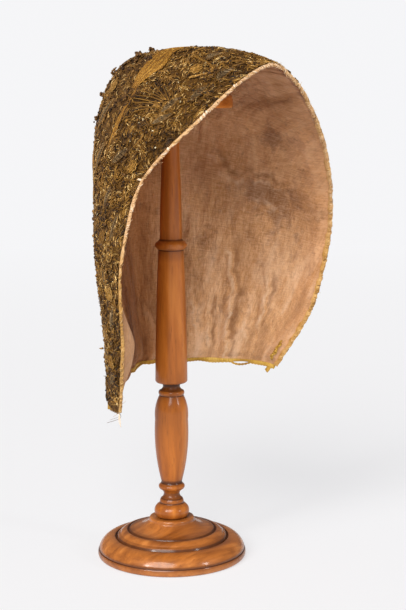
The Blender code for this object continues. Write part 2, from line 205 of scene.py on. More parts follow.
def coifPoint(place, angle):
    rimFwd, rimHalf, rimUp, sideFwd, sideHalf, backRound, backFwd, backUp = (
        rowValue(k, angle) for k in range(1, 9))
    q = np.abs(place)
    back, bend, side, rim = (1 - q)**3, 3 * q * (1 - q)**2, 3 * q**2 * (1 - q), q**3
    sideUp = coif["sideLevel"] * backUp + (1 - coif["sideLevel"]) * rimUp
    x = np.copysign(backRound * bend + sideHalf * side + rimHalf * rim, place)
    fwd = backFwd * (back + bend) + sideFwd * side + rimFwd * rim
    up = backUp * (back + bend) + sideUp * side + rimUp * rim
    below = np.clip((coif["rollTop"] - up) / coif["rollLength"], 0, 1)
    up = up + coif["roll"] * x / coif["rollHalf"] * below       # the near side hangs lower
    inX, inFwd = -x, fwd - coif["foldCentre"]
    size = np.maximum(np.hypot(inX, inFwd), 1.0)
    for where, row, wide, tall, depth in coifFolds:
        push = depth * np.exp(-((place - where) / wide)**2 - ((angle - row) / tall)**2) / size
        x, fwd = x + inX * push, fwd - inFwd * push
    cheek = np.exp(-((place + 1) / coif["cutWide"])**2 - ((angle - coif["cutAt"]) / coif["cutTall"])**2)
    x, fwd = x + coif["settleX"], fwd + coif["settleFwd"] - coif["cut"] * cheek
    return np.stack([x, -fwd, up], -1) * mm


def onDisc(a, b):                               # the coif laid out on a half disc, its round edge the rim
    b = np.clip(b, 0, 1)
    half = np.sqrt(np.maximum(1 - b * b, 1e-9))
    return coifPoint(np.clip(a / half, -1, 1), np.degrees(np.arcsin(b)))


def seamShare(turn):
    return coif["seamLow"] + coif["seamRise"] * np.maximum(np.sin(turn), 0)**coif["seamPower"]


def unit(v):
    return v / np.maximum(np.linalg.norm(v, axis=-1, keepdims=True), 1e-12)


def dot(v, w):
    return (v * w).sum(-1)


def clothAxes(a, b):                            # how the surface runs along a and b, and its normal
    pull = np.minimum(1, discReach / np.maximum(np.hypot(a, b), 1e-6))
    a, b = a * pull, np.maximum(b * pull, 2 * discStep)
    alongA = (onDisc(a + discStep, b) - onDisc(a - discStep, b)) / (2 * discStep)
    alongB = (onDisc(a, b + discStep) - onDisc(a, b - discStep)) / (2 * discStep)
    return alongA, alongB, unit(np.cross(alongB, alongA))


def localAxes(a, b):                            # the ways round and out to the rim, and their steps
    alongA, alongB, normal = clothAxes(a, b)
    turn = np.arctan2(b, a)[..., None]
    outward = unit(alongA * np.cos(turn) + alongB * np.sin(turn))
    around = np.cross(normal, outward)
    around = around * np.sign(dot(around, alongB * np.cos(turn) - alongA * np.sin(turn)))[..., None]
    aa, ab, bb = dot(alongA, alongA), dot(alongA, alongB), dot(alongB, alongB)
    size = aa * bb - ab * ab
    steps = []
    for way in (around, outward):
        wa, wb = dot(alongA, way), dot(alongB, way)
        steps.append(np.stack([(bb * wa - ab * wb) / size, (aa * wb - ab * wa) / size], -1))
    return around, outward, normal, steps[0], steps[1]


braid = {                                       # half width and shift in mm, by degrees off the crown
    "off": (0, 6, 13, 16, 18.5, 21, 24, 29, 34, 40),
    "half": (6.5, 8.6, 9.8, 9.9, 7.6, 4.2, 1.4, 2.5, 2.6, 1.0),
    "shift": (0.0, 2.2, 3.3, 2.6, -0.8, -3.6, -5.4, -2.4, 0.0, 0.5),
    "hiddenFrom": 37.0, "fade": 6.0, "hiddenMost": -0.6, "dipFrom": 21.5, "dipTo": 27.0, "dipDeep": 1.4,
    "lift": 0.75, "sunk": 1.3, "cordGap": 0.80, "cordRadius": 0.45, "cordBeat": 260, "stitchGap": 1.6,
    "stitchStep": 0.0085, "stitchRows": 6, "stitchThick": 0.20, "stitchLift": 0.44, "seed": 5,
}
paceTurns = np.linspace(hemTurn, math.pi - hemTurn, 400)
paceA, paceB = seamShare(paceTurns) * np.cos(paceTurns), seamShare(paceTurns) * np.sin(paceTurns)
paceAlongA, paceAlongB, _ = clothAxes(paceA, paceB)
seamPaces = np.linalg.norm(paceAlongA * np.cos(paceTurns)[:, None] + paceAlongB * np.sin(paceTurns)[:, None],
                           axis=-1) / mm


def seamDistance(a, b):                         # mm out from the seam, along the way to the rim
    turn = np.arctan2(b, a)
    return (np.hypot(a, b) - seamShare(turn)) * np.interp(turn, paceTurns, seamPaces)


def braidHalf(turn):                            # half width, shift to the band, and how bare it lies
    off = np.abs(np.degrees(turn) - 90)
    half, shift = (np.interp(off, braid["off"], braid[key]) for key in ("half", "shift"))
    dip = np.clip(np.minimum(off - braid["dipFrom"], braid["dipTo"] - off), 0, 1)
    bare = np.clip((braid["hiddenFrom"] - off) / braid["fade"], braid["hiddenMost"], 1)
    return half, shift, bare * (1 - braid["dipDeep"] * dip)


def braidLift(turn):                            # it sinks under the needlework down the sides
    return braid["lift"] - braid["sunk"] * (1 - np.clip(braidHalf(turn)[2], 0, 1))


def offBraid(a, b, margin):                     # whether a place is that many mm clear of the braid
    half, shift, bare = braidHalf(np.arctan2(b, a))
    return np.abs(seamDistance(a, b) - shift) > (half + margin) * bare


def kept(a, b, region):                         # moved back inside the band or the back piece
    share, turn = np.hypot(a, b), np.arctan2(np.maximum(b, discStep), a)
    seam, pace = seamShare(turn), np.interp(turn, paceTurns, seamPaces)
    half, shift, bare = braidHalf(turn)
    low = seam + (shift + half * bare) / pace if region == "band" else 0.0
    high = seam + (shift - half * bare) / pace if region == "back" else 1.0
    share = np.clip(share, low, high)
    return share * np.cos(turn), np.maximum(share * np.sin(turn), hemKeep)


def layOnCloth(centre, u, v, lift, region):     # u round the coif and v out to the rim, in mm
    *_, stepU, stepV = localAxes(*centre)
    shape = (len(centre[0]),) + (1,) * (u.ndim - 1)
    a, b = (centre[k].reshape(shape) + mm * (u * stepU[:, k].reshape(shape) + v * stepV[:, k].reshape(shape))
            for k in range(2))
    a, b = kept(a, b, region)
    normal = clothAxes(a, b)[2]
    return onDisc(a, b) + normal * (lift * mm)[..., None], normal


def nearby(a, b, u, v):                         # places moved by u round the coif and v outward, in mm
    *_, stepU, stepV = localAxes(a, b)
    return tuple(c + mm * (u * stepU[:, k] + v * stepV[:, k]) for k, c in enumerate((a, b)))


def discPlace(turnDegrees, share):              # degrees round the rim and share of the way out, as a and b
    turn = np.radians(np.asarray(turnDegrees, float))
    return np.asarray(share) * np.cos(turn), np.asarray(share) * np.sin(turn)


def makePiece(name, points, faces, finish, values=()):
    mesh = bpy.data.meshes.new(name)
    mesh.from_pydata(np.asarray(points).reshape(-1, 3).tolist(), [],
                     [face for group in faces for face in np.asarray(group).tolist()])
    for key, value in dict(values).items():
        value = np.asarray(value, float)
        if value.ndim == 1:
            mesh.attributes.new(key, "FLOAT", "POINT").data.foreach_set("value", value)
        else:
            mesh.attributes.new(key, "FLOAT_VECTOR", "POINT").data.foreach_set("vector", value.ravel())
    mesh.materials.append(finish.material)
    mesh.shade_smooth()
    piece = bpy.data.objects.new(name, mesh)
    bpy.context.collection.objects.link(piece)
    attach(piece, "root")
    print(f"  {name}: {sum(len(p.vertices) - 2 for p in mesh.polygons)} triangles")
    return piece


class Threads:                                  # many small tubes that become one mesh
    def __init__(self):
        self.points, self.faces, self.tones, self.count = [], {}, [], 0

    def add(self, lines, ups, radius, tone, sides=3, flat=1.0):
        number, steps = lines.shape[:2]
        if number == 0:
            return
        along = unit(np.gradient(lines, axis=1))
        across = unit(np.cross(along, ups))
        lift = np.cross(across, along)
        turns = 2 * math.pi * (np.arange(sides) + 0.5) / sides
        radius = np.broadcast_to(radius, (number, steps))[..., None, None] * mm
        ring = (lines[:, :, None] + across[:, :, None] * radius * flat * np.cos(turns)[:, None]
                + lift[:, :, None] * radius * np.sin(turns)[:, None])
        first = self.count + np.arange(number)[:, None] * steps * sides
        ring0, k = np.meshgrid(np.arange(steps - 1), np.arange(sides), indexing="ij")
        low, high = ring0 * sides + k, ring0 * sides + (k + 1) % sides
        quads = np.stack([low, high, high + sides, low + sides], -1).reshape(1, -1, 4)
        self.faces.setdefault(4, []).append((first[..., None] + quads).reshape(-1, 4))
        last = (steps - 1) * sides
        caps = np.array([list(reversed(range(sides))), list(range(last, last + sides))])
        self.faces.setdefault(sides, []).append((first[..., None] + caps[None]).reshape(-1, sides))
        self.points.append(ring.reshape(-1, 3))
        tone = np.broadcast_to(np.asarray(tone, float).reshape(number, -1), (number, steps))
        self.tones.append(np.repeat(tone.ravel(), sides))
        self.count += number * steps * sides

    def build(self, name, finish, slot):
        faces = [face for groups in self.faces.values() for face in groups]
        return makePiece(name, np.concatenate(self.points), faces, finish,
                         {"tone": np.concatenate(self.tones)})


def scatter(rng, count, region):                # places on the cloth, even by area
    many = count * 6                            # more than enough, to pick from
    turn = rng.uniform(hemTurn, math.pi - hemTurn, many)
    seam = seamShare(turn)
    if region == "band":
        share = seam + (1 - seam) * rng.uniform(0, 1, many)
        spread = share * (1 - seam)
    else:
        share = seam * np.sqrt(rng.uniform(0, 1, many))
        spread = seam**2
    a, b = share * np.cos(turn), share * np.sin(turn)
    alongA, alongB, _ = clothAxes(a, b)
    weight = np.linalg.norm(np.cross(alongA, alongB), axis=-1) * spread
    pick = rng.choice(many, count, replace=False, p=weight / weight.sum())
    return a[pick], b[pick]


# Finishes of the needlework
def threadFinish(name, stops, metallic, roughness, patch=0.3):     # patch: how unevenly it has aged
    f = Finish(name, {"Specular IOR Level": 0.4})
    place = f.place()
    soil = f.noise(place, 38, 3, 0.6)
    grain = f.noise(place, 1500, 2, 0.6)
    shade = (f.attribute("tone") + (soil - 0.5) * (patch * 2) + (grain - 0.5) * 0.44).clamped()
    f.feed("Base Color", f.ramp(shade, stops))
    f.feed("Metallic", shade.between(0.05, 0.75) * metallic)
    f.feed("Roughness", (1 - shade) * 0.25 + roughness + (grain - 0.5) * 0.15)
    f.bump(grain, 0.0002, 0.7)
    return f


oldGold = [(0.0, (0.022, 0.009, 0.002)), (0.22, (0.088, 0.037, 0.006)), (0.48, (0.222, 0.101, 0.016)),
           (0.75, (0.47, 0.240, 0.045)), (1.0, (0.86, 0.58, 0.23))]
rustGold = [(0.0, (0.022, 0.008, 0.002)), (0.22, (0.100, 0.043, 0.010)), (0.48, (0.245, 0.118, 0.027)),
            (0.75, (0.48, 0.255, 0.062)), (1.0, (0.82, 0.57, 0.24))]
smoke = [(0.0, (0.045, 0.023, 0.008)), (0.4, (0.150, 0.088, 0.032)), (0.75, (0.31, 0.195, 0.084)),
         (1.0, (0.50, 0.36, 0.20))]
yellowSilk = [(0.0, (0.07, 0.028, 0.004)), (0.35, (0.30, 0.145, 0.016)), (0.7, (0.55, 0.31, 0.040)),
              (1.0, (0.82, 0.56, 0.14))]
braidGold = [(0.0, (0.055, 0.020, 0.003)), (0.35, (0.255, 0.107, 0.008)), (0.7, (0.49, 0.238, 0.024)),
             (1.0, (0.82, 0.50, 0.10))]
looseSilk = [(0.0, (0.060, 0.036, 0.016)), (0.5, (0.45, 0.27, 0.11)), (1.0, (0.95, 0.76, 0.55))]
peachSilk = [(0.0, (0.20, 0.095, 0.025)), (0.3, (0.50, 0.27, 0.095)), (0.6, (0.70, 0.43, 0.215)),
             (1.0, (0.90, 0.72, 0.53))]
butterSilk = [(0.0, (0.15, 0.062, 0.010)), (0.4, (0.50, 0.255, 0.055)), (1.0, (0.84, 0.57, 0.25))]
giltStops = [(0.0, (0.42, 0.28, 0.10)), (1.0, (0.90, 0.78, 0.52))]
goldFinish = threadFinish("aged_gold_thread", oldGold, 0.5, 0.36, 0.44)
crownFinish = threadFinish("aged_gold_thread_crown", rustGold, 0.45, 0.38, 0.40)
smokeFinish = threadFinish("smoked_satin", smoke, 0.12, 0.5, 0.25)
yellowFinish = threadFinish("yellow_silk_cord", yellowSilk, 0.05, 0.6, 0.25)
braidFinish = threadFinish("old_gold_braid", braidGold, 0.12, 0.55, 0.35)
looseFinish = threadFinish("loose_silk_ends", looseSilk, 0.0, 0.6, 0.1)
giltFinish = threadFinish("gilt_chip", giltStops, 0.9, 0.15, 0.2)


def groundFinish(name, stops):
    f = Finish(name, {"Roughness": 0.62, "Specular IOR Level": 0.2})
    place = f.place()
    grain = f.noise(place, 950, 4, 0.7, 1.5)
    worms = f.noise(place, 420, 3, 0.6, 2.5)
    soil = f.noise(place, 38, 3, 0.6)
    height = (grain.between(0.3, 0.7) * 0.6 + worms.between(0.35, 0.65) * 0.4).clamped()
    f.feed("Base Color", f.ramp((height * 0.9 + (soil - 0.5) * 0.4 - 0.14).clamped(), stops))
    f.bump(height, 0.0009)
    return f


def padding(a, b, points):                      # the worked cloth isn't quite even
    return 0.12 * np.sin(points[..., 0] * 900) * np.sin(points[..., 2] * 1100 + points[..., 1] * 700)


def clothSheet(name, columns, rows, region, outer, finish, relief, marks=None):
    if region == "band":
        turn, across = np.meshgrid(np.linspace(0, math.pi, columns), np.linspace(0, 1, rows), indexing="ij")
        seam = seamShare(turn)
        share = seam + (1 - seam) * across
        a, b = share * np.cos(turn), share * np.sin(turn)
    else:                                       # an even net over the half disc
        w, h = np.meshgrid(np.sqrt(2) * np.cos(np.linspace(math.pi / 4, 3 * math.pi / 4, columns)),
                           np.sqrt(2) * np.sin(np.linspace(0, math.pi / 4, rows)), indexing="ij")
        a, b = w * np.sqrt(1 - h * h / 2), h * np.sqrt(1 - w * w / 2)
        share = 1.0 if region == "coif" else seamShare(np.arctan2(b, a))
        a, b = a * share, b * share
    points, normals = onDisc(a, b), clothAxes(a, b)[2]
    extra = relief(a, b, points)
    offsets = [points + normals * ((level + extra) * mm)[..., None] for level in (outer, outer - clothThick)]
    corner = (np.arange(columns - 1)[:, None] * rows + np.arange(rows - 1)).ravel()
    top = np.stack([corner, corner + rows, corner + rows + 1, corner + 1], -1)
    count = columns * rows
    edge = np.concatenate([
        np.arange(rows), np.arange(1, columns) * rows + rows - 1,
        (columns - 1) * rows + np.arange(rows - 2, -1, -1), np.arange(columns - 2, 0, -1) * rows])
    ahead = np.roll(edge, -1)
    wall = np.stack([ahead, edge, edge + count, ahead + count], -1)
    if region != "band":                        # its rows run the other way
        top, wall = top[:, ::-1], wall[:, ::-1]
    faces = [top[:, ::-1], top + count, wall[:, ::-1]]
    laid = np.stack([a * 0.15, b * 0.25, np.zeros_like(a)], -1).reshape(-1, 3)
    values = {"laid": np.concatenate([laid, laid])}
    for key, value in (marks(a, b) if marks else {}).items():
        values[key] = np.tile(value.ravel(), 2)
    return makePiece(name, np.concatenate(offsets), faces, finish, values)


# Needlework: bundles of laid threads, curls, knots and fine ends, then the leaves, fans and flowers over them
needle = {                                      # how many of each, before those on the braid drop out
    "band": {"under": 2250, "top": 520, "curls": 1500, "knots": 900, "fine": 420, "seed": 11,
             "name": "front_band", "slot": "embroidery_band", "finish": goldFinish},
    "back": {"under": 1900, "top": 440, "curls": 1300, "knots": 900, "fine": 320, "seed": 23,
             "name": "back_crown", "slot": "embroidery_back", "finish": crownFinish},
}
bundles = {                                     # threads in each, then mm long, lifted and thick
    "under": {"each": 4, "long": (3, 7), "lift": (0, 0.55), "thick": (0.23, 0.37), "tone": 0.42, "stray": 0.7},
    "top": {"each": 3, "long": (2.5, 6), "lift": (0.5, 1), "thick": (0.22, 0.34), "tone": 0.54, "stray": 1.0},
    "fine": {"each": 1, "long": (3, 8), "lift": (0.8, 1.4), "thick": (0.12, 0.2), "tone": 0.80, "stray": 1.6},
}
flow = [(0, 1.9, 17, 1.3), (2, 1.7, 15, 0), (1, 1.3, 13, 2)]     # how bundles turn: axis, strength, mm, start
offBraidBy = {"bundles": 1.0, "curls": 0.6, "knots": 0.5}


def turned(u, v, way):
    return u * np.cos(way) - v * np.sin(way), u * np.sin(way) + v * np.cos(way)


def openPlaces(rng, count, region, kind):       # scattered places, less those on the braid
    a, b = scatter(rng, count, region)
    clear = offBraid(a, b, offBraidBy[kind])
    return a[clear], b[clear]


def layBundles(threads, rng, region, kind):     # a few threads side by side, bowed and fanned
    plan = bundles[kind]
    a, b = openPlaces(rng, needle[region][kind], region, "bundles")
    number, each, steps = len(a), plan["each"], 4
    s = np.linspace(-1, 1, steps)[None, None]
    lane = (np.arange(each) - (each - 1) / 2)[None, :, None]
    spots = onDisc(a, b) / mm
    field = sum(strength * np.sin(spots[:, axis] / size + start) for axis, strength, size, start in flow)
    way = (field + rng.normal(0, plan["stray"], number))[:, None, None]
    half = rng.uniform(*plan["long"], number)[:, None, None] / 2 * rng.uniform(0.7, 1.2, (number, each, 1))
    gap = rng.uniform(0.75, 1.25, number)[:, None, None]
    spread = rng.normal(0, 0.3, number)[:, None, None]
    bow = rng.normal(0, 0.9, number)[:, None, None]
    along = s * half + rng.normal(0, 0.8, (number, each, 1))
    across = lane * gap * (1 + spread * s) + bow * (s * s - 0.5) + rng.normal(0, 0.16, (number, each, steps))
    base = rng.uniform(*plan["lift"], number)[:, None, None] + rng.uniform(0, 0.3, (number, each, 1))
    height = base + 0.1 - (0.5 + base * 0.7) * s**4
    lines, ups = layOnCloth((a, b), *turned(along, across, way), height, region)
    tones = plan["tone"] + rng.normal(0, 0.14, (number, 1, 1)) + rng.normal(0, 0.23, (number, each, 1))
    size = rng.uniform(*plan["thick"], (number, each, 1)) * np.ones((1, 1, steps))
    flat = (-1, steps, 3)
    threads.add(lines.reshape(flat), ups.reshape(flat), size.reshape(-1, steps), tones.reshape(-1, 1))


curlPlan = {"sweep": (1.8, 4.6), "size": (0.65, 1.55), "taper": 0.3, "lift": (0.25, 0.9), "arch": 0.4,
            "thick": (0.20, 0.33), "tone": 0.47, "stray": 0.20}


def layCurls(threads, rng, region):
    places = openPlaces(rng, needle[region]["curls"], region, "curls")
    each = (len(places[0]), 1)
    s = np.linspace(0, 1, 6)[None]
    sweep = rng.uniform(*curlPlan["sweep"], each) * rng.choice((-1, 1), each)
    start = rng.uniform(0, 2 * math.pi, each)
    size = rng.uniform(*curlPlan["size"], each) * (1 - curlPlan["taper"] * s)
    u, v = size * np.cos(start + sweep * s), size * np.sin(start + sweep * s)
    height = rng.uniform(*curlPlan["lift"], each) + curlPlan["arch"] * np.sin(s * 3)
    lines, ups = layOnCloth(places, u, v, height, region)
    threads.add(lines, ups, rng.uniform(*curlPlan["thick"], each),
                curlPlan["tone"] + rng.normal(0, curlPlan["stray"], each))


beadAlong, beadThick = np.array([-1.0, -0.45, 0.45, 1.0]), np.array([0.35, 0.85, 0.85, 0.35])


def layBeads(threads, rng, places, region, size, height, tone, sides=5):
    way = rng.uniform(0, 2 * math.pi, (len(places[0]), 1))
    size, height, tone = (np.reshape(c, (-1, 1)) for c in (size, height, tone))
    s = beadAlong[None] * size
    lines, ups = layOnCloth(places, s * np.cos(way), s * np.sin(way), height + 0 * s, region)
    threads.add(lines, ups, size * beadThick[None], tone, sides)


knotPlan = {"size": (0.4, 0.9), "large": 0.5, "largeFrom": 0.9, "lift": (0.3, 0.9), "raise": 0.4,
            "tone": 0.26, "stray": 0.22}


def layKnots(threads, rng, region):
    places = openPlaces(rng, needle[region]["knots"], region, "knots")
    number = len(places[0])
    size = rng.uniform(*knotPlan["size"], number)
    size = size + knotPlan["large"] * (rng.random(number) > knotPlan["largeFrom"])
    height = rng.uniform(*knotPlan["lift"], number) + size * knotPlan["raise"]
    tones = knotPlan["tone"] + rng.normal(0, knotPlan["stray"], number)
    layBeads(threads, rng, places, region, size, height, tones)


def discOf(place):                              # a place given as (degrees round, share of the way out)
    return discPlace([place[0]], [place[1]])


def layMotif(threads, place, u, v, lift, region, radius, tone, sides=3):
    u, v, lift = (np.atleast_2d(c)[None] for c in (u, v, lift))
    lines, ups = layOnCloth(discOf(place), u, v, lift + 0 * u, region)
    tones = np.broadcast_to(tone, u.shape[1]).reshape(-1, 1)
    threads.add(lines[0], ups[0], radius, tones, sides)


def wayBetween(place, other):                   # direction and distance on the cloth, in mm
    start, end = onDisc(*discOf(place)) / mm, onDisc(*discOf(other)) / mm
    around, outward, *_ = localAxes(*discOf(place))
    u, v = dot(end - start, around)[0], dot(end - start, outward)[0]
    return math.atan2(v, u), math.hypot(u, v)


leafPlan = {                                    # edges: mm out, tone
    "pitch": 0.72, "widen": 1.2, "slant": 0.55, "thick": 0.31, "tone": 0.5, "stray": 0.17,
    "edges": ((0.15, 0.55), (0.75, 0.38)), "edgeLift": 0.95, "edgeThick": 0.24,
}


def leafHalf(wide, at):                         # half its width, at of the way from its root
    return wide / 2 * np.sin(math.pi * at)**0.75 * (1.15 - 0.35 * at)


def satinLeaf(kit, rng, tip, root, wide, region):   # slanting stitches either side of a vein
    middle = (tip[0] + root[0]) / 2, (tip[1] + root[1]) / 2
    way, reach = wayBetween(middle, tip)
    long, wide = reach * 2, wide * leafPlan["widen"]
    count = int(long / leafPlan["pitch"])
    at = np.repeat((np.arange(count) + 0.5) / count, 2)[:, None]
    side = np.tile([-1.0, 1.0], count)[:, None]
    half = leafHalf(wide, at)
    s = np.linspace(0, 1, 4)[None]
    u = (at - 0.5) * long + half * leafPlan["slant"] * s - 0.2
    v = side * half * (0.04 + 0.96 * s)
    u, v = u + rng.normal(0, 0.12, at.shape), v * rng.uniform(0.8, 1.12, at.shape)
    dome = 0.65 + 0.6 * np.sin(math.pi * at)**0.6 * (1 - s**2)
    tones = leafPlan["tone"] + rng.normal(0, leafPlan["stray"], len(at))
    layMotif(kit["satin"], middle, *turned(u, v, way), dome, region, leafPlan["thick"], tones)
    s = np.linspace(0, 2 * math.pi, 30)
    along = (1 - np.cos(s / 2)) / 2
    for out, tone in leafPlan["edges"]:
        for side in (1, -1):
            u = (along - 0.5) * (long + out)
            v = side * (leafHalf(wide, along) + out) + 0.22 * np.sin(s * 6 + rng.uniform(0, 6))
            layMotif(kit["gold"], middle, *turned(u, v, way), leafPlan["edgeLift"], region,
                     leafPlan["edgeThick"], tone + rng.normal(0, 0.08))


fanPlan = {                                     # ribs: share of the way on to the next one, thick, tone, lift
    # the second rib, dark and lower, is painted shade between the raised ribs
    "bare": 0.24, "ribs": ((0.0, 0.38, 0.54, 1.15), (0.5, 0.36, 0.08, 0.85)),
}


def ribbedFan(kit, rng, root, ends, region):    # ribs that spread from one root, with dark ribs between them as painted shade in the gaps
    ways = [wayBetween(root, end) for end in ends]
    s = np.linspace(0, 1, 12)[None]
    for (way, long), (nextWay, nextLong) in zip(ways, ways[1:] + ways[-1:]):
        for part, radius, tone, lift in fanPlan["ribs"]:
            angle = way + (nextWay - way) * part
            reach = long + (nextLong - long) * part
            u = reach * (fanPlan["bare"] + (1 - fanPlan["bare"]) * s) * rng.uniform(0.95, 1.03)
            v = 0.6 * np.sin(s * math.pi + rng.normal(0, 0.4)) * rng.normal(0, 1)
            layMotif(kit["gold"], root, *turned(u, v, angle), lift + 0.25 * np.sin(s * 9 + way * 40), region,
                     radius, tone + rng.normal(0, 0.07), 4)


flowerPlan = {"loops": (1.0, 0.66), "thick": 0.28, "heart": 0.26, "heartSweep": 14, "heartThick": 0.34}


def cordedFlower(kit, rng, place, size, petals, region):    # looped petals round a coiled yellow heart
    s = np.linspace(0, 2 * math.pi, 12)[None]
    for k in range(petals):
        way = 2 * math.pi * k / petals + rng.normal(0, 0.06)
        for part in flowerPlan["loops"]:
            u = size * (0.58 - 0.42 * part * np.cos(s))
            v = size * part * 0.40 * np.sin(s) * (1.0 + 0.2 * np.cos(s))
            layMotif(kit["gold"], place, *turned(u, v, way), 1.2 + 0.4 * part, region, flowerPlan["thick"],
                     0.5 + 0.2 * part + rng.normal(0, 0.06))
    s = np.linspace(0, 1, 22)[None]
    coil, sweep = size * flowerPlan["heart"] * s, s * flowerPlan["heartSweep"]
    layMotif(kit["yellow"], place, coil * np.cos(sweep), coil * np.sin(sweep), 1.7 - 0.4 * s, region,
             flowerPlan["heartThick"], 0.5)


swirlPlan = {"cords": ((0.0, 0.66), (0.62, 0.44)), "thick": 0.29}      # cords: mm out, tone


def cordedSwirl(kit, rng, place, size, turns, way, region):    # a couched spiral of two threads
    s = np.linspace(0, 1, int(14 * turns))[None]
    sweep = s * turns * 2 * math.pi
    for out, tone in swirlPlan["cords"]:
        r = size * s**0.8 + out
        u, v = turned(r * np.cos(sweep), r * np.sin(sweep), way)
        layMotif(kit["gold"], place, u, v, 1.35 - 0.3 * s, region, swirlPlan["thick"],
                 tone + rng.normal(0, 0.05))


stemPlan = {"cords": ((-1, 1.0, 0.5), (0, 1.25, 0.62), (1, 1.0, 0.5)), "apart": 0.66, "thick": 0.36,
            "tieHalf": 1.25, "tieThick": 0.15}             # cords: place, lift, tone


def couchedStem(kit, rng, places, region):      # cords side by side, tied down by couching
    places = np.array(places, float)
    many = np.linspace(0, len(places) - 1, 16 * (len(places) - 1))
    row = np.clip(many.astype(int), 0, len(places) - 2)
    near = (places[np.clip(row + k, 0, len(places) - 1)] for k in (-1, 0, 1, 2))
    track = curveThrough(*near, (many - row)[:, None])
    a, b = kept(*discPlace(track[:, 0], track[:, 1]), region)
    points, normals = onDisc(a, b), clothAxes(a, b)[2]
    along = unit(np.gradient(points, axis=0))
    side = unit(np.cross(along, normals))
    for k, (place, lift, tone) in enumerate(stemPlan["cords"]):
        waver = 0.25 * np.sin(np.arange(len(points)) * 1.1 + k)[:, None]
        line = points + (normals * lift + side * (place * stemPlan["apart"] + waver)) * mm
        kit["gold"].add(line[None], normals[None], stemPlan["thick"], [tone + rng.normal(0, 0.03)], 4)
    ties = slice(3, -3, 3)
    s = np.linspace(-1, 1, 4)[None, :, None]
    over = side[ties, None] * s * stemPlan["tieHalf"] + normals[ties, None] * (1.75 - 0.5 * s**2)
    lines = points[ties, None] + (over + along[ties, None] * 0.3 * s) * mm
    kit["gold"].add(lines, np.broadcast_to(normals[ties, None], lines.shape), stemPlan["tieThick"],
                    0.8 + rng.normal(0, 0.08, (len(lines), 1)))


def mirrored(place):
    return 180 - place[0], place[1]


def both(rows):                                 # the near side's motifs and their mirror on the far side
    return rows + [tuple(mirrored(p) if isinstance(p, tuple) else p for p in row) for row in rows]


motifs = {                                      # places are (degrees round the rim, share of the way out)
    "band": {
        "leaves": [((117.0, 0.966), (121.6, 0.953), 5.0), ((113.5, 0.983), (118.9, 0.977), 5.6),
                   ((102.9, 0.991), (111.1, 0.987), 6.0), ((122.2, 0.969), (124.3, 0.950), 4.4),
                   ((129.3, 0.932), (131.2, 0.902), 6.0), ((94.5, 0.984), (99.8, 0.978), 5.0),
                   ((136.3, 0.915), (139.2, 0.885), 5.0), ((142.5, 0.965), (146.5, 0.935), 5.2),
                   ((150.0, 0.880), (153.2, 0.905), 5.2), ((157.5, 0.965), (160.5, 0.925), 5.2),
                   ((163.5, 0.840), (166.8, 0.880), 5.0), ((170.0, 0.955), (173.0, 0.910), 5.0),
                   ((172.5, 0.800), (175.5, 0.850), 4.6)],                  # tip, root, mm wide
        "flowers": [((134.5, 0.968), 4.6, 7), ((144.5, 0.885), 5.2, 8), ((155.0, 0.945), 5.2, 8),
                    ((167.5, 0.925), 4.8, 7), ((106.0, 0.972), 4.6, 7)],    # place, mm, petals
        "swirls": [((134.9, 0.938), 5.0, 2.2, 0.4), ((139.9, 0.940), 4.2, 1.8, 2.0),
                   ((149.0, 0.940), 4.2, 1.8, 3.0), ((160.5, 0.870), 4.2, 1.8, 1.0),
                   ((127.0, 0.965), 3.8, 1.6, 2.5), ((99.5, 0.993), 4.0, 1.7, 0.0)],  # place, mm, turns, start
        "stems": [[(110.2, 0.968), (107.0, 0.982), (102.5, 0.980), (98.0, 0.968), (93.0, 0.972)],
                  [(124.5, 0.925), (127.0, 0.948), (129.5, 0.945)]],
        "fans": [((119.8, 0.962), [(119.6, 0.903), (118.3, 0.897), (116.7, 0.895), (115.6, 0.898),
                                   (114.6, 0.903), (113.6, 0.912), (112.7, 0.922), (112.2, 0.932),
                                   (112.2, 0.943)])],                       # root, the ribs' ends
    },
    "back": {
        "leaves": [((124.0, 0.85), (128.0, 0.80), 5.5), ((135.0, 0.70), (141.0, 0.66), 5.5),
                   ((112.0, 0.86), (116.5, 0.80), 5.5), ((104.0, 0.78), (111.0, 0.74), 5.5),
                   ((150.0, 0.60), (158.0, 0.57), 5.5), ((118.0, 0.62), (128.0, 0.60), 6.0),
                   ((100.0, 0.60), (112.0, 0.62), 5.5), ((135.0, 0.42), (150.0, 0.48), 5.5),
                   ((165.0, 0.50), (172.0, 0.60), 5.0), ((98.0, 0.40), (118.0, 0.44), 5.5),
                   ((110.0, 0.22), (140.0, 0.30), 5.0), ((96.0, 0.90), (101.0, 0.86), 5.0)],
        "flowers": [((120.0, 0.72), 6.0, 9), ((143.0, 0.55), 6.0, 9), ((104.0, 0.50), 6.0, 9),
                    ((125.0, 0.32), 5.6, 8), ((162.0, 0.42), 5.2, 8), ((108.0, 0.86), 5.0, 8)],
        "swirls": [((131.0, 0.76), 5.0, 2.0, 1.0), ((112.0, 0.66), 5.0, 2.0, 2.0),
                   ((150.0, 0.50), 4.6, 2.0, 0.5), ((130.0, 0.48), 4.6, 2.0, 3.0),
                   ((155.0, 0.30), 4.4, 1.8, 2.2), ((106.0, 0.30), 4.4, 1.8, 1.2)],
        "stems": [[(136.0, 0.52), (128.0, 0.66), (118.0, 0.78)], [(160.0, 0.52), (146.0, 0.62)],
                  [(93.0, 0.30), (96.0, 0.45)]],
        "fans": [],
    },
}


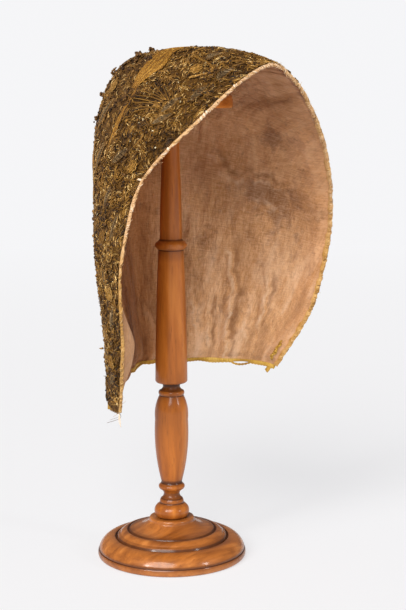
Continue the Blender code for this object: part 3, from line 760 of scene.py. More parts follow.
def embroider(region, rng, kit):
    plan = motifs[region]
    for tip, root, wide in both(plan["leaves"]):
        satinLeaf(kit, rng, tip, root, wide, region)
    for place, size, petals in both(plan["flowers"]):
        cordedFlower(kit, rng, place, size, petals, region)
    for place, size, turns, way in both(plan["swirls"]):
        cordedSwirl(kit, rng, place, size, turns, way, region)
    for places in plan["stems"]:
        couchedStem(kit, rng, places, region)
        couchedStem(kit, rng, [mirrored(place) for place in places], region)
    for root, ends in plan["fans"]:
        ribbedFan(kit, rng, root, ends, region)
        ribbedFan(kit, rng, mirrored(root), [mirrored(end) for end in ends], region)


def stitchRegion(region):
    plan = needle[region]
    rng = np.random.default_rng(plan["seed"])
    under, over = Threads(), Threads()
    layBundles(under, rng, region, "under")
    layBundles(over, rng, region, "top")
    layCurls(over, rng, region)
    layKnots(over, rng, region)
    layBundles(over, rng, region, "fine")
    kit = {"gold": Threads(), "satin": Threads(), "yellow": Threads()}
    embroider(region, rng, kit)
    parts = [(under, "laid_threads", plan["finish"]), (over, "top_threads", plan["finish"]),
             (kit["gold"], "corded_motifs", plan["finish"]), (kit["satin"], "satin_leaves", smokeFinish),
             (kit["yellow"], "flower_hearts", yellowFinish)]
    return [threads.build(f"{plan['name']}_{part}", finish, plan["slot"]) for threads, part, finish in parts]


tuft = {                                        # dark knots in tufts on the crown, and stray ends
    "places": [(101.4, 0.858), (99.0, 0.907), (95.5, 0.898), (94.0, 0.912), (101.5, 0.925), (105.2, 0.808),
               (111.6, 0.780), (86.0, 0.905), (79.0, 0.880), (73.0, 0.850)],
    "knots": 16, "spread": 1.0, "size": (0.55, 1.15), "lift": (0.8, 3.6), "tone": (0.05, 0.42), "seed": 77,
    "spikes": [(164.3, 0.76, 5.0, 0.55, 0.55), (158.5, 0.74, 3.0, 0.2, 0.5), (118.0, 0.62, 3.5, 0.18, 0.6),
               (150.0, 0.62, 2.6, 0.2, 0.4), (135.0, 0.55, 2.6, 0.2, 0.4), (172.0, 0.80, 2.8, 0.2, 0.5),
               (176.0, 0.90, 2.6, 0.2, 0.4)],   # place, mm long and thick, tone
    "spikeBend": ((0.0, 0.3, 0.5, 0.3), (0.0, 0.2, 0.0, -0.6)), "spikeRise": (0.5, 0.4, 0.75, 1.0),
    "spikeTaper": (1.0, 1.4, 1.2, 0.2),
}
chip = {                                        # small flat gilt chips caught in the stitches
    "places": [(112.2, 0.960), (122.0, 0.928), (122.6, 0.934), (126.4, 0.960), (119.0, 0.970), (120.8, 0.848),
               (97.8, 0.988), (131.0, 0.985), (108.0, 0.978), (70.0, 0.96), (62.0, 0.94), (50.0, 0.93),
               (40.0, 0.90)],
    "scattered": 22, "long": (0.45, 0.95), "tilt": 0.5, "lift": 1.45, "flat": 6.5,
    "along": (-1.0, -0.7, 0.7, 1.0), "thick": (0.04, 0.09, 0.09, 0.04),
}


def makeTufts():
    rng = np.random.default_rng(tuft["seed"])
    dark, gilt = Threads(), Threads()
    number, spread = tuft["knots"], tuft["spread"]
    for turn, share in tuft["places"]:
        a, b = discPlace(np.full(number, turn), np.full(number, share))
        places = nearby(a, b, rng.normal(0, spread, number), rng.normal(0, spread, number))
        size, lift, tone = (rng.uniform(*tuft[key], number) for key in ("size", "lift", "tone"))
        layBeads(dark, rng, places, "coif", size, lift, tone, 6)
    bendU, bendV = (np.array([way]) for way in tuft["spikeBend"])
    for turn, share, long, thick, tone in tuft["spikes"]:
        rise = np.array([tuft["spikeRise"]]) * long
        lines, ups = layOnCloth(discOf((turn, share)), bendU, bendV, rise, "coif")
        dark.add(lines, ups, np.array([tuft["spikeTaper"]]) * thick, tone, 5)
    scattered = [scatter(rng, chip["scattered"], region) for region in ("band", "back")]
    listed = discPlace(*zip(*chip["places"]))
    places = [np.concatenate([c[k] for c in (*scattered, listed)]) for k in range(2)]
    each = (len(places[0]), 1)
    way = rng.uniform(0, 2 * math.pi, each)
    long = rng.uniform(*chip["long"], each)
    s = np.array([chip["along"]]) * long
    tilt = rng.uniform(-chip["tilt"], chip["tilt"], each)
    lines, ups = layOnCloth(places, s * np.cos(way), s * np.sin(way), chip["lift"] + tilt * s, "coif")
    thick = np.array([chip["thick"]]) * (0.6 + 0.4 * long)
    gilt.add(lines, ups, thick, rng.uniform(0.1, 1, each), 6, chip["flat"])
    return [dark.build("crown_dark_knots", crownFinish, "embroidery_back"),
            gilt.build("gilt_chips", giltFinish, "embroidery_band")]


# The seam's yellow silk braid: cords side by side, held by slanting stitches
def makeBraid():
    cords, ties = Threads(), Threads()
    rng = np.random.default_rng(braid["seed"])
    along = np.linspace(hemTurn, math.pi - hemTurn, 560)
    half, shift, _ = braidHalf(along)
    reach = int(max(braid["half"]) / braid["cordGap"])
    for k in range(-reach, reach + 1):
        offset = k * braid["cordGap"]
        inside = np.abs(offset) <= half
        turns = along[inside]
        if len(turns) < 8:                      # too short to be a cord
            continue
        places = discPlace(np.degrees(turns), seamShare(turns))
        out = (offset + shift[inside] + 0.12 * np.sin(turns * 160 + k * math.pi))[:, None]
        beat = np.sin(turns * braid["cordBeat"] + k * 2)
        lines, ups = layOnCloth(places, 0 * out, out, (braidLift(turns) + 0.12 * beat)[:, None], "coif")
        # the tone follows the cord's beat: painted highlight where the cord rises, painted shade where it dips
        tone = 0.28 + 0.27 * beat + rng.normal(0, 0.07) + 0.12 * np.sin(turns * 37 + k)
        cords.add(lines[None, :, 0], ups[None, :, 0], braid["cordRadius"], tone[None], 5)
    along = np.arange(0.03, math.pi - 0.03, braid["stitchStep"])
    half, shift, _ = braidHalf(along)
    rows = []
    for k in range(-braid["stitchRows"], braid["stitchRows"] + 1):
        offset = k * braid["stitchGap"]
        inside = np.abs(offset) + 0.6 < half
        rows += [(turn, offset + aside, (-1)**k) for turn, aside in zip(along[inside], shift[inside])]
    turns, out, lean = (np.array(c)[:, None] for c in zip(*rows))
    places = discPlace(np.degrees(turns[:, 0]), seamShare(turns[:, 0]))
    s = np.linspace(-1, 1, 4)[None]
    height = braidLift(turns) + braid["stitchLift"] - 0.25 * s**2
    lines, ups = layOnCloth(places, s * 0.55 * lean, out + s * 0.8, height, "coif")
    ties.add(lines, ups, braid["stitchThick"], 0.52 + rng.normal(0, 0.2, turns.shape))
    return [cords.build("seam_braid_cords", braidFinish, "gold_braid"),
            ties.build("seam_braid_stitches", braidFinish, "gold_braid")]


# stainsAndShadows: a, b, wide, tall, strength; folds: from, to, wide, mm high; foldWander: size, beat, start
silk = {
    "stainsAndShadows": [(0.61, 0.545, 0.075, 0.045, 1.0), (0.545, 0.56, 0.05, 0.03, 0.7), (0.66, 0.47, 0.05, 0.05, 0.6),
               (0.55, 0.725, 0.06, 0.035, 0.9), (0.44, 0.50, 0.07, 0.05, 0.55), (0.39, 0.39, 0.07, 0.03, 0.5),
               (0.52, 0.245, 0.018, 0.07, 0.7), (0.60, 0.20, 0.012, 0.05, 0.5), (0.40, 0.64, 0.09, 0.03, 0.5),
               (0.36, 0.30, 0.02, 0.02, 0.6), (0.78, 0.40, 0.03, 0.08, 0.5),
               # of these three, the first two paint the shadow beside the sagging lobe, and the last darkens
               # the hem at the near corner
               (-0.21, 0.13, 0.05, 0.09, 0.9), (-0.10, 0.03, 0.06, 0.02, 0.8), (-0.97, 0.0, 0.05, 0.014, 2.5)],
    "folds": [(0.50, 0.37, 0.56, 0.25, 0.013, 1.5), (0.56, 0.25, 0.595, 0.10, 0.013, 1.8),
              (0.595, 0.10, 0.63, 0.0, 0.012, 1.5), (0.70, 0.30, 0.735, 0.15, 0.014, 1.4),
              (0.45, 0.21, 0.50, 0.05, 0.015, 1.3), (0.36, 0.24, 0.40, 0.12, 0.014, 1.1),
              (0.37, 0.63, 0.42, 0.58, 0.012, 1.2), (0.42, 0.58, 0.50, 0.565, 0.012, 1.2),
              (0.52, 0.59, 0.63, 0.575, 0.010, 1.2), (0.55, 0.53, 0.64, 0.52, 0.011, 1.0),
              (0.64, 0.16, 0.72, 0.05, 0.012, 1.0), (0.06, 0.20, 0.16, 0.10, 0.014, 1.2)],
    "foldWander": ((0.007, 75, 2), (0.004, 170, 1)), "foldEnd": 0.02,
    "lobeAt": -0.925, "lobeWide": 0.055, "lobeFrom": 0.05, "lobeTall": 0.33, "lobeDeep": 11.0,
    "shadeFrom": 0.24, "shadeTo": 0.08,
    "slack": 0.1, "waveHigh": 1.3, "fineHigh": 0.3, "pullHigh": 1.1, "foldHigh": 1.0, "creaseHigh": 0.9,
    "hemHigh": 1.45,                            # how far each kind of wrinkle, and the turned hem, stands off
}
silkColours = {
    "ground": (0.70, 0.370, 0.165), "worn": (0.53, 0.262, 0.105), "pink": (0.78, 0.47, 0.27),
    "soil": (0.30, 0.128, 0.048), "stain": (0.200, 0.076, 0.025), "spot": (0.25, 0.115, 0.048),
    "thread": (0.84, 0.56, 0.36), "gap": (0.28, 0.13, 0.052), "crease": (0.26, 0.115, 0.045),
    "drapeLit": (0.86, 0.60, 0.41), "drapeShaded": (0.31, 0.15, 0.065), "foldLit": (0.88, 0.63, 0.43),
    "foldShaded": (0.22, 0.09, 0.032), "edge": (0.84, 0.76, 0.72), "shade": (0.60, 0.45, 0.30),
    # painted light for the sagging lobe
    "lobe": (0.64, 0.335, 0.165),
}


def overPlace(a, b):                            # from the near rim at -1 to the far one at 1
    return a / np.sqrt(1 - b * b + 1e-6)


def lobeShare(a, b):                            # where the loose lining sags beside the near cheek
    return (np.exp(-((overPlace(a, b) - silk["lobeAt"]) / silk["lobeWide"])**2)
            * np.sin(math.pi * np.clip((b - silk["lobeFrom"]) / silk["lobeTall"], 0, 1)))


def foldHeight(a, b, shift=0.0):                # the folds pressed into the lining, in mm
    total = 0.0 * a
    for k, (a0, b0, a1, b1, wide, high) in enumerate(silk["folds"]):
        run = math.hypot(a1 - a0, b1 - b0)
        along = ((a - a0) * (a1 - a0) + (b - b0) * (b1 - b0)) / run
        aside = ((a - a0) * (b1 - b0) - (b - b0) * (a1 - a0)) / run - shift * wide
        for size, beat, start in silk["foldWander"]:
            aside = aside + size * np.sin(along * beat + k * start)
        beyond = np.clip(np.abs(along - run / 2) - run / 2, 0, None)
        total = np.maximum(total, high * np.exp(-(aside / wide)**2 - (beyond / silk["foldEnd"])**2))
    return total


def liningMarks(a, b):                          # what the lining's finish is told at each point
    # real stains, and painted shadow beside the sagging lobe
    stain = sum(strength * np.exp(-((a - x) / wide)**2 - ((b - y) / tall)**2)
                for x, y, wide, tall, strength in silk["stainsAndShadows"])
    shade = np.clip((silk["shadeFrom"] - a) / (silk["shadeFrom"] - silk["shadeTo"]), 0, 1)
    # lobe: painted light on the sagging lobe beside the near cheek, which also clears the painted shade there
    lobe = np.clip(lobeShare(a, b) * 2.2, 0, 1)
    edge = np.clip((overPlace(a, b) - 0.84) / 0.1, 0, 1)
    fold = (foldHeight(a, b) - foldHeight(a, b, -1.8)) / 1.6       # painted light on one side of a fold, painted shade on the other
    return {"stain": stain, "shade": shade * (1 - lobe), "lobe": lobe, "edge": edge, "fold": fold}


def liningFinish():
    f = Finish("tan_lining_silk", {"Roughness": 0.78, "Sheen Weight": 0.12, "Sheen Roughness": 0.5,
                                   "Specular IOR Level": 0.2})
    laid = f.attribute("laid", "Vector")
    upper = f.node("ShaderNodeSeparateXYZ", {}, {0: laid}, 1).between(0.05, 0.15)
    lower = 1 - upper
    weft = f.noise(f.place((170, 1150, 1), source=laid), 1.0, 3, 0.7, 0.3)
    warp = f.noise(f.place((1150, 150, 1), source=laid), 1.0, 3, 0.7, 0.3)
    patches = f.noise(f.place(), 55, 3, 0.6, 0.5)
    cloud = f.noise(f.place(), 30, 5, 0.66, 0.9)
    spots = f.noise(f.place(), 150, 4, 0.6, 0.3)
    fade = f.noise(f.place((1, 1, 0.6)), 17, 4, 0.6, 0.6)
    creases = f.noise(f.place((1, 1, 0.45)), 42, 2, 0.4, 0.25) - 0.5
    creases = (creases * creases * 420).clamped()
    crumple = f.noise(f.place((1, 1, 0.34), (0, 0, 0.5)), 110, 4, 0.62, 0.15)
    rumple = f.noise(f.place((60, 34, 1), (0, 0, 0.5), source=laid), 1.0, 2, 0.4, 0.5)
    # painted light and shade of soft vertical puckers in the lower lining
    drapeShading = f.noise(f.place((84, 17, 1), source=laid), 1.0, 3, 0.55, 0.5)
    # painted light and shade of the folds and crumples
    fold = f.attribute("fold") + (crumple - 0.5) * 1.5 + (spots - 0.5) * 0.8
    ragged = (f.attribute("stain") + (cloud - 0.5) * 2.0 + (spots - 0.5) * 1.6).between(0.22, 0.75)
    cloth = f.blend(fade.between(0.38, 0.62), silkColours["ground"], silkColours["worn"])
    for share, colour in (
            (patches.between(0.45, 0.65) * 0.35, "pink"),
            (cloud.between(0.52, 0.68) * 0.45, "soil"),
            (ragged * 0.72, "stain"),
            (spots.between(0.62, 0.72) * 0.4, "spot"),
            (weft.between(0.50, 0.66) * (upper * 0.16 + 0.20), "thread"),
            (weft.between(0.50, 0.34) * (upper * 0.14 + 0.24), "gap"),
            (warp.between(0.50, 0.66) * (lower * 0.16 + 0.16), "thread"),
            (warp.between(0.50, 0.34) * (lower * 0.16 + 0.18), "gap"),
            # painted shade along the creases
            ((1 - creases) * lower * 0.10, "crease"),
            (drapeShading.between(0.50, 0.68) * (lower * 0.34 + 0.08), "drapeLit"),
            (drapeShading.between(0.50, 0.34) * (lower * 0.36 + 0.08), "drapeShaded"),
            (fold.between(0.30, 1.0) * 0.5, "foldLit"),
            (fold.between(-0.15, -0.85) * 0.6, "foldShaded")):
        cloth = f.blend(share, cloth, silkColours[colour])
    for mark, share, kind in (("edge", 0.55, "MULTIPLY"), ("shade", 0.9, "MULTIPLY"), ("lobe", 0.5, "MIX")):
        cloth = f.blend(f.attribute(mark) * share, cloth, silkColours[mark], kind)
    f.feed("Base Color", cloth)
    f.bump(crumple * (lower * 3.2 + 1.8) + creases * lower * 0.3 + rumple * (upper * 6.0 + 2.5)
           + (weft + warp) * 0.3, 0.001)
    return f


def wrinkle(a, b, points):                      # how far the silk stands off the cloth, in mm
    x, y, z = (points[..., k] / mm for k in range(3))
    low, high = np.clip((255 - z) / 100, 0, 1), np.clip((355 - z) / 20, 0, 1)
    waves = 0.5 + 0.5 * np.sin(x / 6.5 + 2.1 * np.sin(z / 19 + x / 31) + y / 9)
    fine = 0.5 + 0.5 * np.sin(z / 4.2 + 2 * np.sin(x / 17 + y / 21))
    pulls = 0.5 + 0.5 * np.sin(x / 9 + z / 12 + 1.9 * np.sin(z / 27 - x / 22 + y / 19))
    folds = 1 - np.abs(np.sin(y / 14 - z / 17 + 1.3 * np.sin(x / 19 + z / 33)))**0.5
    crease = np.exp(-((y + 12 + (z - 300) * 0.12) / 1.5)**2)
    crease = crease * np.clip((z - 262) / 20, 0, 1) * np.clip((340 - z) / 30, 0, 1)
    hem = np.maximum(np.clip((np.hypot(a, b) - 0.965) / 0.035, 0, 1), np.clip((0.03 - b) / 0.03, 0, 1))
    loose = (silk["slack"] + silk["waveHigh"] * waves * low + silk["fineHigh"] * fine
             + silk["pullHigh"] * pulls + silk["foldHigh"] * folds + silk["creaseHigh"] * crease
             + foldHeight(a, b) + silk["lobeDeep"] * lobeShare(a, b))
    return silk["hemHigh"] * hem - (1 - hem) * high * loose


def makeCloth():
    band = clothSheet("front_band_cloth", 220, 12, "band", -groundDeep, groundFinish("band_ground", oldGold),
                      padding)
    back = clothSheet("back_crown_cloth", 84, 42, "back", -groundDeep, groundFinish("crown_ground", rustGold),
                      padding)
    lining = clothSheet("lining_silk", 170, 84, "coif", -silkFace, liningFinish(), wrinkle,
                        liningMarks)
    return band, back, lining


# Edges
# wobble and sway: mm, mm a beat, start; lumps: degrees round the rim, side, mm
edging = {
    "wobble": ((0.45, 7.3, 0), (0.45, 2.3, 1), (0.35, 1.1, 2), (0.4, 19.0, 4), (0.3, 0.7, 3)),
    "sway": ((0.5, 5.1, 1), (0.5, 1.9, 2), (0.4, 13.0, 0), (0.3, 0.8, 5)),
    "lumps": [(137.6, -1, 4.6), (123.5, 1, 2.0), (122.6, 1, 2.2), (121.9, 1, 1.8), (131.0, 1, 1.2),
              (112.0, 1, 1.4)],
    "out": 0.35, "under": 1.0, "thick": 0.86, "flat": 1.42, "farThick": 0.45, "uneven": 0.28, "seed": 31,
    "stitches": 900, "stitchThick": (0.16, 0.36), "fibres": 620, "farFibres": 160, "fibreLong": (0.4, 1.5),
    "fibreThick": 0.11,
}


def inMm(values):                               # a row of sizes in mm, ready to multiply vectors
    return (values * mm)[:, None]


def lengthsAlong(points):
    return np.concatenate([[0], np.cumsum(np.linalg.norm(np.diff(points, axis=0), axis=1))]) / mm


def edgeFrames(a, b, insideA, insideB):         # an edge's points, the ways out and off the cloth
    points, normals = onDisc(a, b), clothAxes(a, b)[2]
    along = unit(np.gradient(points, axis=0))
    cross = unit(normals - along * dot(normals, along)[:, None])
    out = np.cross(along, cross)
    out = out * np.sign(dot(out, points - onDisc(insideA, insideB)))[:, None]
    return points, out, cross


def creamFinish():
    f = Finish("cream_silk_binding", {"Roughness": 0.66})
    place = f.place()
    tone = f.attribute("tone")
    tint = f.noise(place, 26, 4, 0.65)
    fibre = f.noise(place, 1100, 3, 0.6)
    shade = (tone + (fibre - 0.5) * 0.55 + (tint - 0.5) * 0.5).clamped()
    peach, yellow = f.ramp(shade, peachSilk), f.ramp(shade, butterSilk)
    f.feed("Base Color", f.blend((tint + f.attribute("yellow") - 0.5).between(0.42, 0.60), peach, yellow))
    f.bump(fibre, 0.0004, 0.7)
    return f


def layWhipping(strands, rng, edge, far):       # whipping stitches over the edge, uneven and worn
    each = (edging["stitches"], 1, 1)
    at = np.sort(rng.integers(4, len(far) - 4, each[0]))
    centre, out, cross, along = (way[at][:, None] for way in edge)
    s = np.linspace(-1, 1, 6)[None, :, None] * 1.25
    lean = (0.7 + rng.normal(0, 0.9, each)) * mm
    swell = (rng.uniform(0.75, 1.15, each) + edging["farThick"] * far[at][:, None, None]) * mm
    line = centre + cross * np.sin(s) * swell + out * np.cos(s) * edging["flat"] * swell + along * s * lean
    strands.add(line, np.broadcast_to(along, line.shape), rng.uniform(*edging["stitchThick"], each[:2]),
                0.54 + rng.normal(0, 0.2, each[:2]), 4)


def layFibres(strands, rng, edge):              # worn fibres that stand off the edge, more on the far side
    each = (edging["fibres"], 1, 1)
    at = rng.integers(8, len(edge[0]) - 8, each[0])
    at[:edging["farFibres"]] = rng.integers(100, 420, edging["farFibres"])
    centre, out, cross, along = (way[at][:, None] for way in edge)
    s = np.linspace(0, 1, 5)[None, :, None]
    lean = rng.uniform(-1, 1, each)
    side = rng.uniform(-1.2, 1.2, each)
    length = (rng.uniform(*edging["fibreLong"], each) + 1.8 * (rng.random(each) > 0.94)) * mm
    line = (centre + length * (s * (out * (1 - 0.3 * np.abs(side)) + cross * side) + s**2 * along * lean)
            + cross * side * 0.7 * mm)
    strands.add(line, np.broadcast_to(cross, line.shape), edging["fibreThick"],
                0.72 + rng.normal(0, 0.15, each[:2]))


def layLumps(strands, edge, turns):             # ends of thread knotted off on the ribbon
    s = np.linspace(0, 1, 6)[:, None]
    for turn, side, reach in edging["lumps"]:
        centre, out, cross, along = (way[np.searchsorted(turns, math.radians(turn))] for way in edge)
        line = centre + (side * out * s * reach + cross * np.sin(s * math.pi) * 0.8 + along * s * 1.2) * mm
        strands.add(line[None], np.broadcast_to(cross, line.shape)[None],
                    0.85 * np.array([[0.8, 1, 1, 0.9, 0.7, 0.3]]), 0.98, 6)


def makeFrontBinding():
    rng = np.random.default_rng(edging["seed"])
    turns = np.linspace(0.0, math.pi, 1000)
    a, b = np.cos(turns), np.sin(turns)
    points, out, cross = edgeFrames(a, b, a * 0.97, b * 0.97)
    lengths = lengthsAlong(points)
    wobble, sway = (sum(size * np.sin(lengths / pace + start) for size, pace, start in edging[key])
                    for key in ("wobble", "sway"))
    centre = points + out * inMm(edging["out"] + edging["uneven"] * wobble)
    centre = centre - cross * inMm(edging["under"] + edging["uneven"] * sway)
    far = np.clip((points[:, 0] / mm - 12) / 40, 0, 1) * np.clip((360 - points[:, 2] / mm) / 25, 0.3, 1)
    core, strands = Threads(), Threads()
    thick = edging["thick"] + 0.24 * sway + edging["farThick"] * far
    core.add(centre[None], cross[None], thick[None], (0.5 + 0.14 * wobble)[None], 10, edging["flat"])
    edge = (centre, out, cross, unit(np.gradient(points, axis=0)))
    layWhipping(strands, rng, edge, far)
    layFibres(strands, rng, edge)
    layLumps(strands, edge, turns)
    cream = creamFinish()
    made = [core.build("front_binding_ribbon", cream, "cream_binding"),
            strands.build("front_binding_stitches", cream, "cream_binding")]
    for piece in made:                          # the ribbon shows yellower below the cheek and over the brow
        spots = np.empty(len(piece.data.vertices) * 3)
        piece.data.vertices.foreach_get("co", spots)
        x, z = spots[0::3], spots[2::3]
        yellow = 0.5 + 0.35 * np.clip((0.24 - z) / 0.04, -0.4, 1) + 0.12 * np.clip((x - 0.02) / 0.04, 0, 1)
        piece.data.attributes.new("yellow", "FLOAT", "POINT").data.foreach_set("value", yellow)
    return made


def bottomEdge():                               # from the far corner to the near one
    a = np.cos(np.linspace(0.0, math.pi, 700))
    b = np.zeros_like(a)
    return edgeFrames(a * 0.995, b, a * 0.98, b + 0.02)


nape = {                                        # sags: place along the edge, reach, drop in mm
    "sags": [(0.138, 0.036, 2.6), (0.24, 0.05, 0.5), (0.38, 0.05, 0.6), (0.55, 0.05, 0.8), (0.72, 0.05, 0.9),
             (0.895, 0.03, 2.6)],
    "ribbonOut": 0.9, "ribbonThick": 0.85, "ribbonFlat": 1.9, "laceOut": 2.3, "laceThick": 0.5,
    "laceHalf": 0.4, "laceTurn": 2.6, "thinFrom": 0.90, "thinOver": 0.06, "seed": 41,
    "endAt": 0.105, "endLong": 5.5, "endThick": 0.5, "frays": 4, "frayThick": 0.36,
}


def layFrays(ribbon, rng):                      # the ribbon's end frays inside, up along the far edge
    for k in range(nape["frays"]):
        b = np.linspace(0.012 + 0.01 * rng.random(), 0.085 + 0.04 * rng.random(), 22)
        wander = 0.006 * np.sin(b * 170 + k * 2) + 0.005 * (k - 1.5)
        a = (0.972 - 0.02 * np.sin(math.pi * b / 0.3) + wander) * np.sqrt(1 - b * b)
        spots, normals = onDisc(a, b), clothAxes(a, b)[2]
        line = spots + normals * inMm(wrinkle(a, b, spots) - silkFace - 0.9 - 0.2 * k)
        tones = 0.62 + rng.normal(0, 0.16, len(b))
        ribbon.add(line[None], normals[None], nape["frayThick"], tones[None], 5, 2.2)


def makeNape():
    rng = np.random.default_rng(nape["seed"])
    points, out, cross = bottomEdge()
    lengths = lengthsAlong(points)
    share = lengths / lengths[-1]
    wobble = np.sin(lengths / 6.1) + 0.6 * np.sin(lengths / 2.7 + 1)
    centre = points + out * inMm(nape["ribbonOut"] + 0.15 * wobble) - cross * edging["under"] * mm
    ribbon, lace = Threads(), Threads()
    inner = slice(4, -4)
    tip = np.clip((share - nape["thinFrom"]) / nape["thinOver"], 0, 1)   # thin and soiled at the near corner
    thick = nape["ribbonThick"] * (1 - 0.45 * tip) + 0.06 * wobble
    tone = 0.70 - 0.52 * tip + 0.12 * wobble + rng.normal(0, 0.05, len(points))
    ribbon.add(centre[None, inner], cross[None, inner], thick[None, inner], tone[None, inner], 8,
               nape["ribbonFlat"])
    sag = sum(drop * np.clip(1 - ((share - place) / reach)**2, 0, None) for place, reach, drop in nape["sags"])
    track = centre + out * inMm(nape["laceOut"] - nape["ribbonOut"] + 0.2 * wobble + sag)
    inner = slice(10, -10)
    for k in range(2):                          # two strands twisted into a lace
        swing = (lengths / nape["laceTurn"] * math.pi + k * math.pi)[:, None]
        line = track + (out * np.cos(swing) + cross * np.sin(swing)) * nape["laceHalf"] * mm
        lace.add(line[None, inner], cross[None, inner], (nape["laceThick"] * (1 - 0.4 * tip))[None, inner],
                 (0.70 - 0.50 * tip + 0.12 * wobble)[None, inner], 5)
    at = int(len(points) * nape["endAt"])       # the ribbon's end hangs near the far corner
    drop = np.linspace(0, 1, 6)[:, None]
    aside = unit(points[at + 20] - points[at])
    end = centre[at] + (out[at] * drop * nape["endLong"] + aside * drop**2 * 2.0) * mm
    ribbon.add(end[None], np.broadcast_to(cross[at], end.shape)[None], nape["endThick"], 0.75, 6, 4.0)
    layFrays(ribbon, rng)
    return [ribbon.build("nape_ribbon", yellowFinish, "mustard_ribbon"),
            lace.build("nape_lace_cord", yellowFinish, "mustard_lace")]


looseEnds = [                                   # place along the edge, length, sideways, curl, thick, tone
    (0.990, 8.0, -4.5, 5.0, 0.14, 0.06), (0.985, 6.0, -4.0, 3.0, 0.11, 0.10),
    (0.998, 11.0, 0.6, -0.8, 0.22, 1.0),
    (0.999, 9.0, 1.4, 0.6, 0.18, 1.0), (0.997, 7.5, 0.2, 0.5, 0.20, 0.9), (0.94, 4.0, -2.0, 1.0, 0.12, 0.5),
]


def makeLooseEnds():                            # frayed threads that hang from the near corner
    threads = Threads()
    points, _, cross = bottomEdge()
    s = np.linspace(0, 1, 12)[:, None]
    down, right = np.array([0, 0, -1.0]), np.array(fromCamera(1, 0, 0))
    for share, long, aside, curl, thick, tone in looseEnds:
        at = int(share * (len(points) - 1))
        hang = down * s * long + right * (aside * s**2 + curl * np.sin(s * 4) * s)
        line = points[at] - cross[at] * edging["under"] * mm + hang * mm
        threads.add(line[None], np.broadcast_to(cross[at], line.shape)[None], thick, tone, 4)
    return threads.build("loose_thread_ends", looseFinish, "gold_braid")


coveShadeReach = 2.0                               # how far the painted shade beside the grooves reaches, in mm


# The stand, turned from the CAD's own outline with finer steps
def turnedOutline(start, rows, finer):          # rows: radius, height, bow, steps, and how dark the groove is painted, as painted shade
    outline, marks = [start], [0.0]
    for radius, height, bow, steps, groove in rows:
        r0, z0 = outline[-1]
        run = math.hypot(radius - r0, height - z0)
        outR, outZ = (height - z0) / run, -(radius - r0) / run
        steps = max(2, steps * finer)
        for k in range(1, steps + 1):
            t = k / steps
            swell = 4 * bow * t * (1 - t)
            outline.append((r0 + (radius - r0) * t + outR * swell, z0 + (height - z0) * t + outZ * swell))
            marks.append(groove)
    return np.array(outline), np.array(marks)


def turnedPiece(name, start, rows, finish, sides=96, finer=4):    # it starts and ends on its own axis
    outline, marks = turnedOutline(start, rows, finer)
    middle, groove = outline[1:-1], marks[1:-1]
    turns = 2 * math.pi * np.arange(sides) / sides
    rings = np.stack([middle[:, None, 0] * np.cos(turns), middle[:, None, 0] * np.sin(turns),
                      middle[:, None, 1] + 0 * turns], -1).reshape(-1, 3)
    points = np.concatenate([rings, [[0, 0, outline[0, 1]], [0, 0, outline[-1, 1]]]]) * mm
    k = np.arange(sides)
    ring = np.arange(len(middle) - 1)[:, None] * sides
    low, high = ring + k, ring + (k + 1) % sides
    top, count = (len(middle) - 1) * sides, len(rings)
    faces = [np.stack([low, high, high + sides, low + sides], -1).reshape(-1, 4),
             np.stack([(k + 1) % sides, k, np.full(sides, count)], -1),
             np.stack([top + k, top + (k + 1) % sides, np.full(sides, count + 1)], -1)]
    apart = np.linalg.norm(middle[:, None] - middle[None], axis=2)
    polish = (groove[None] * np.exp(-apart / coveShadeReach)).max(1)
    return makePiece(name, points, faces, finish,
                     {"groove": np.concatenate([np.repeat(groove, sides), [marks[0], marks[-1]]]),
                      "polish": np.concatenate([np.repeat(polish, sides), [0, 0]])})


woodColours = {                                 # light, mid and dark grain
    "stem": ((0.67, 0.236, 0.038), (0.485, 0.142, 0.016), (0.25, 0.062, 0.007)),
    "base": ((0.70, 0.265, 0.062), (0.49, 0.158, 0.027), (0.23, 0.064, 0.010)),
    # painted light: the head is a lighter copy of the same wood, for its lit edge
    "head": ((0.80, 0.30, 0.060), (0.62, 0.19, 0.026), (0.34, 0.085, 0.010)),
    "polish": (0.165, 0.044, 0.008), "groove": (0.078, 0.020, 0.004),
}


def woodFinish(part, grainScale, coat):
    name, (light, mid, dark) = f"varnished_wood_{part}", woodColours[part]
    f = Finish(name, {"Coat Roughness": 0.15, "Coat IOR": 1.5, "Specular IOR Level": 0.2})
    place = f.place(grainScale)
    grain = f.noise(place, 105, 4, 0.6, 0.4)
    figure = f.noise(place, 16, 2, 0.4, 0.8)
    rings = ((figure * 80).sine() * 0.5 + 0.5) ** 2
    pores = f.noise(f.place(tuple(3 * v for v in grainScale)), 300, 2)
    colour = f.ramp((grain * 0.8 + figure * 0.5 - 0.15).clamped(), [(0.3, dark), (0.5, mid), (0.7, light)])
    colour = f.blend(rings * 0.26, colour, dark)
    colour = f.blend(pores.between(0.60, 0.72) * 0.36, colour, tuple(0.45 * v for v in dark))
    groove = f.attribute("groove")
    wear = f.noise(f.place(), 110, 3)
    # painted shade beside the grooves, as in their shadowed coves
    colour = f.blend((f.attribute("polish") * (0.35 + 0.9 * wear)).clamped(), colour, woodColours["polish"])
    # painted shade in the grooves
    colour = f.blend((groove * (0.8 + 0.5 * wear)).clamped(), colour, woodColours["groove"])
    f.feed("Base Color", colour)
    f.feed("Coat Weight", (1 - groove * 0.5) * coat)
    f.feed("Roughness", 0.38 + 0.2 * wear)
    f.bump(grain * 0.5 + pores * 0.5 + rings * 0.2, 0.00015, 0.5)
    return f


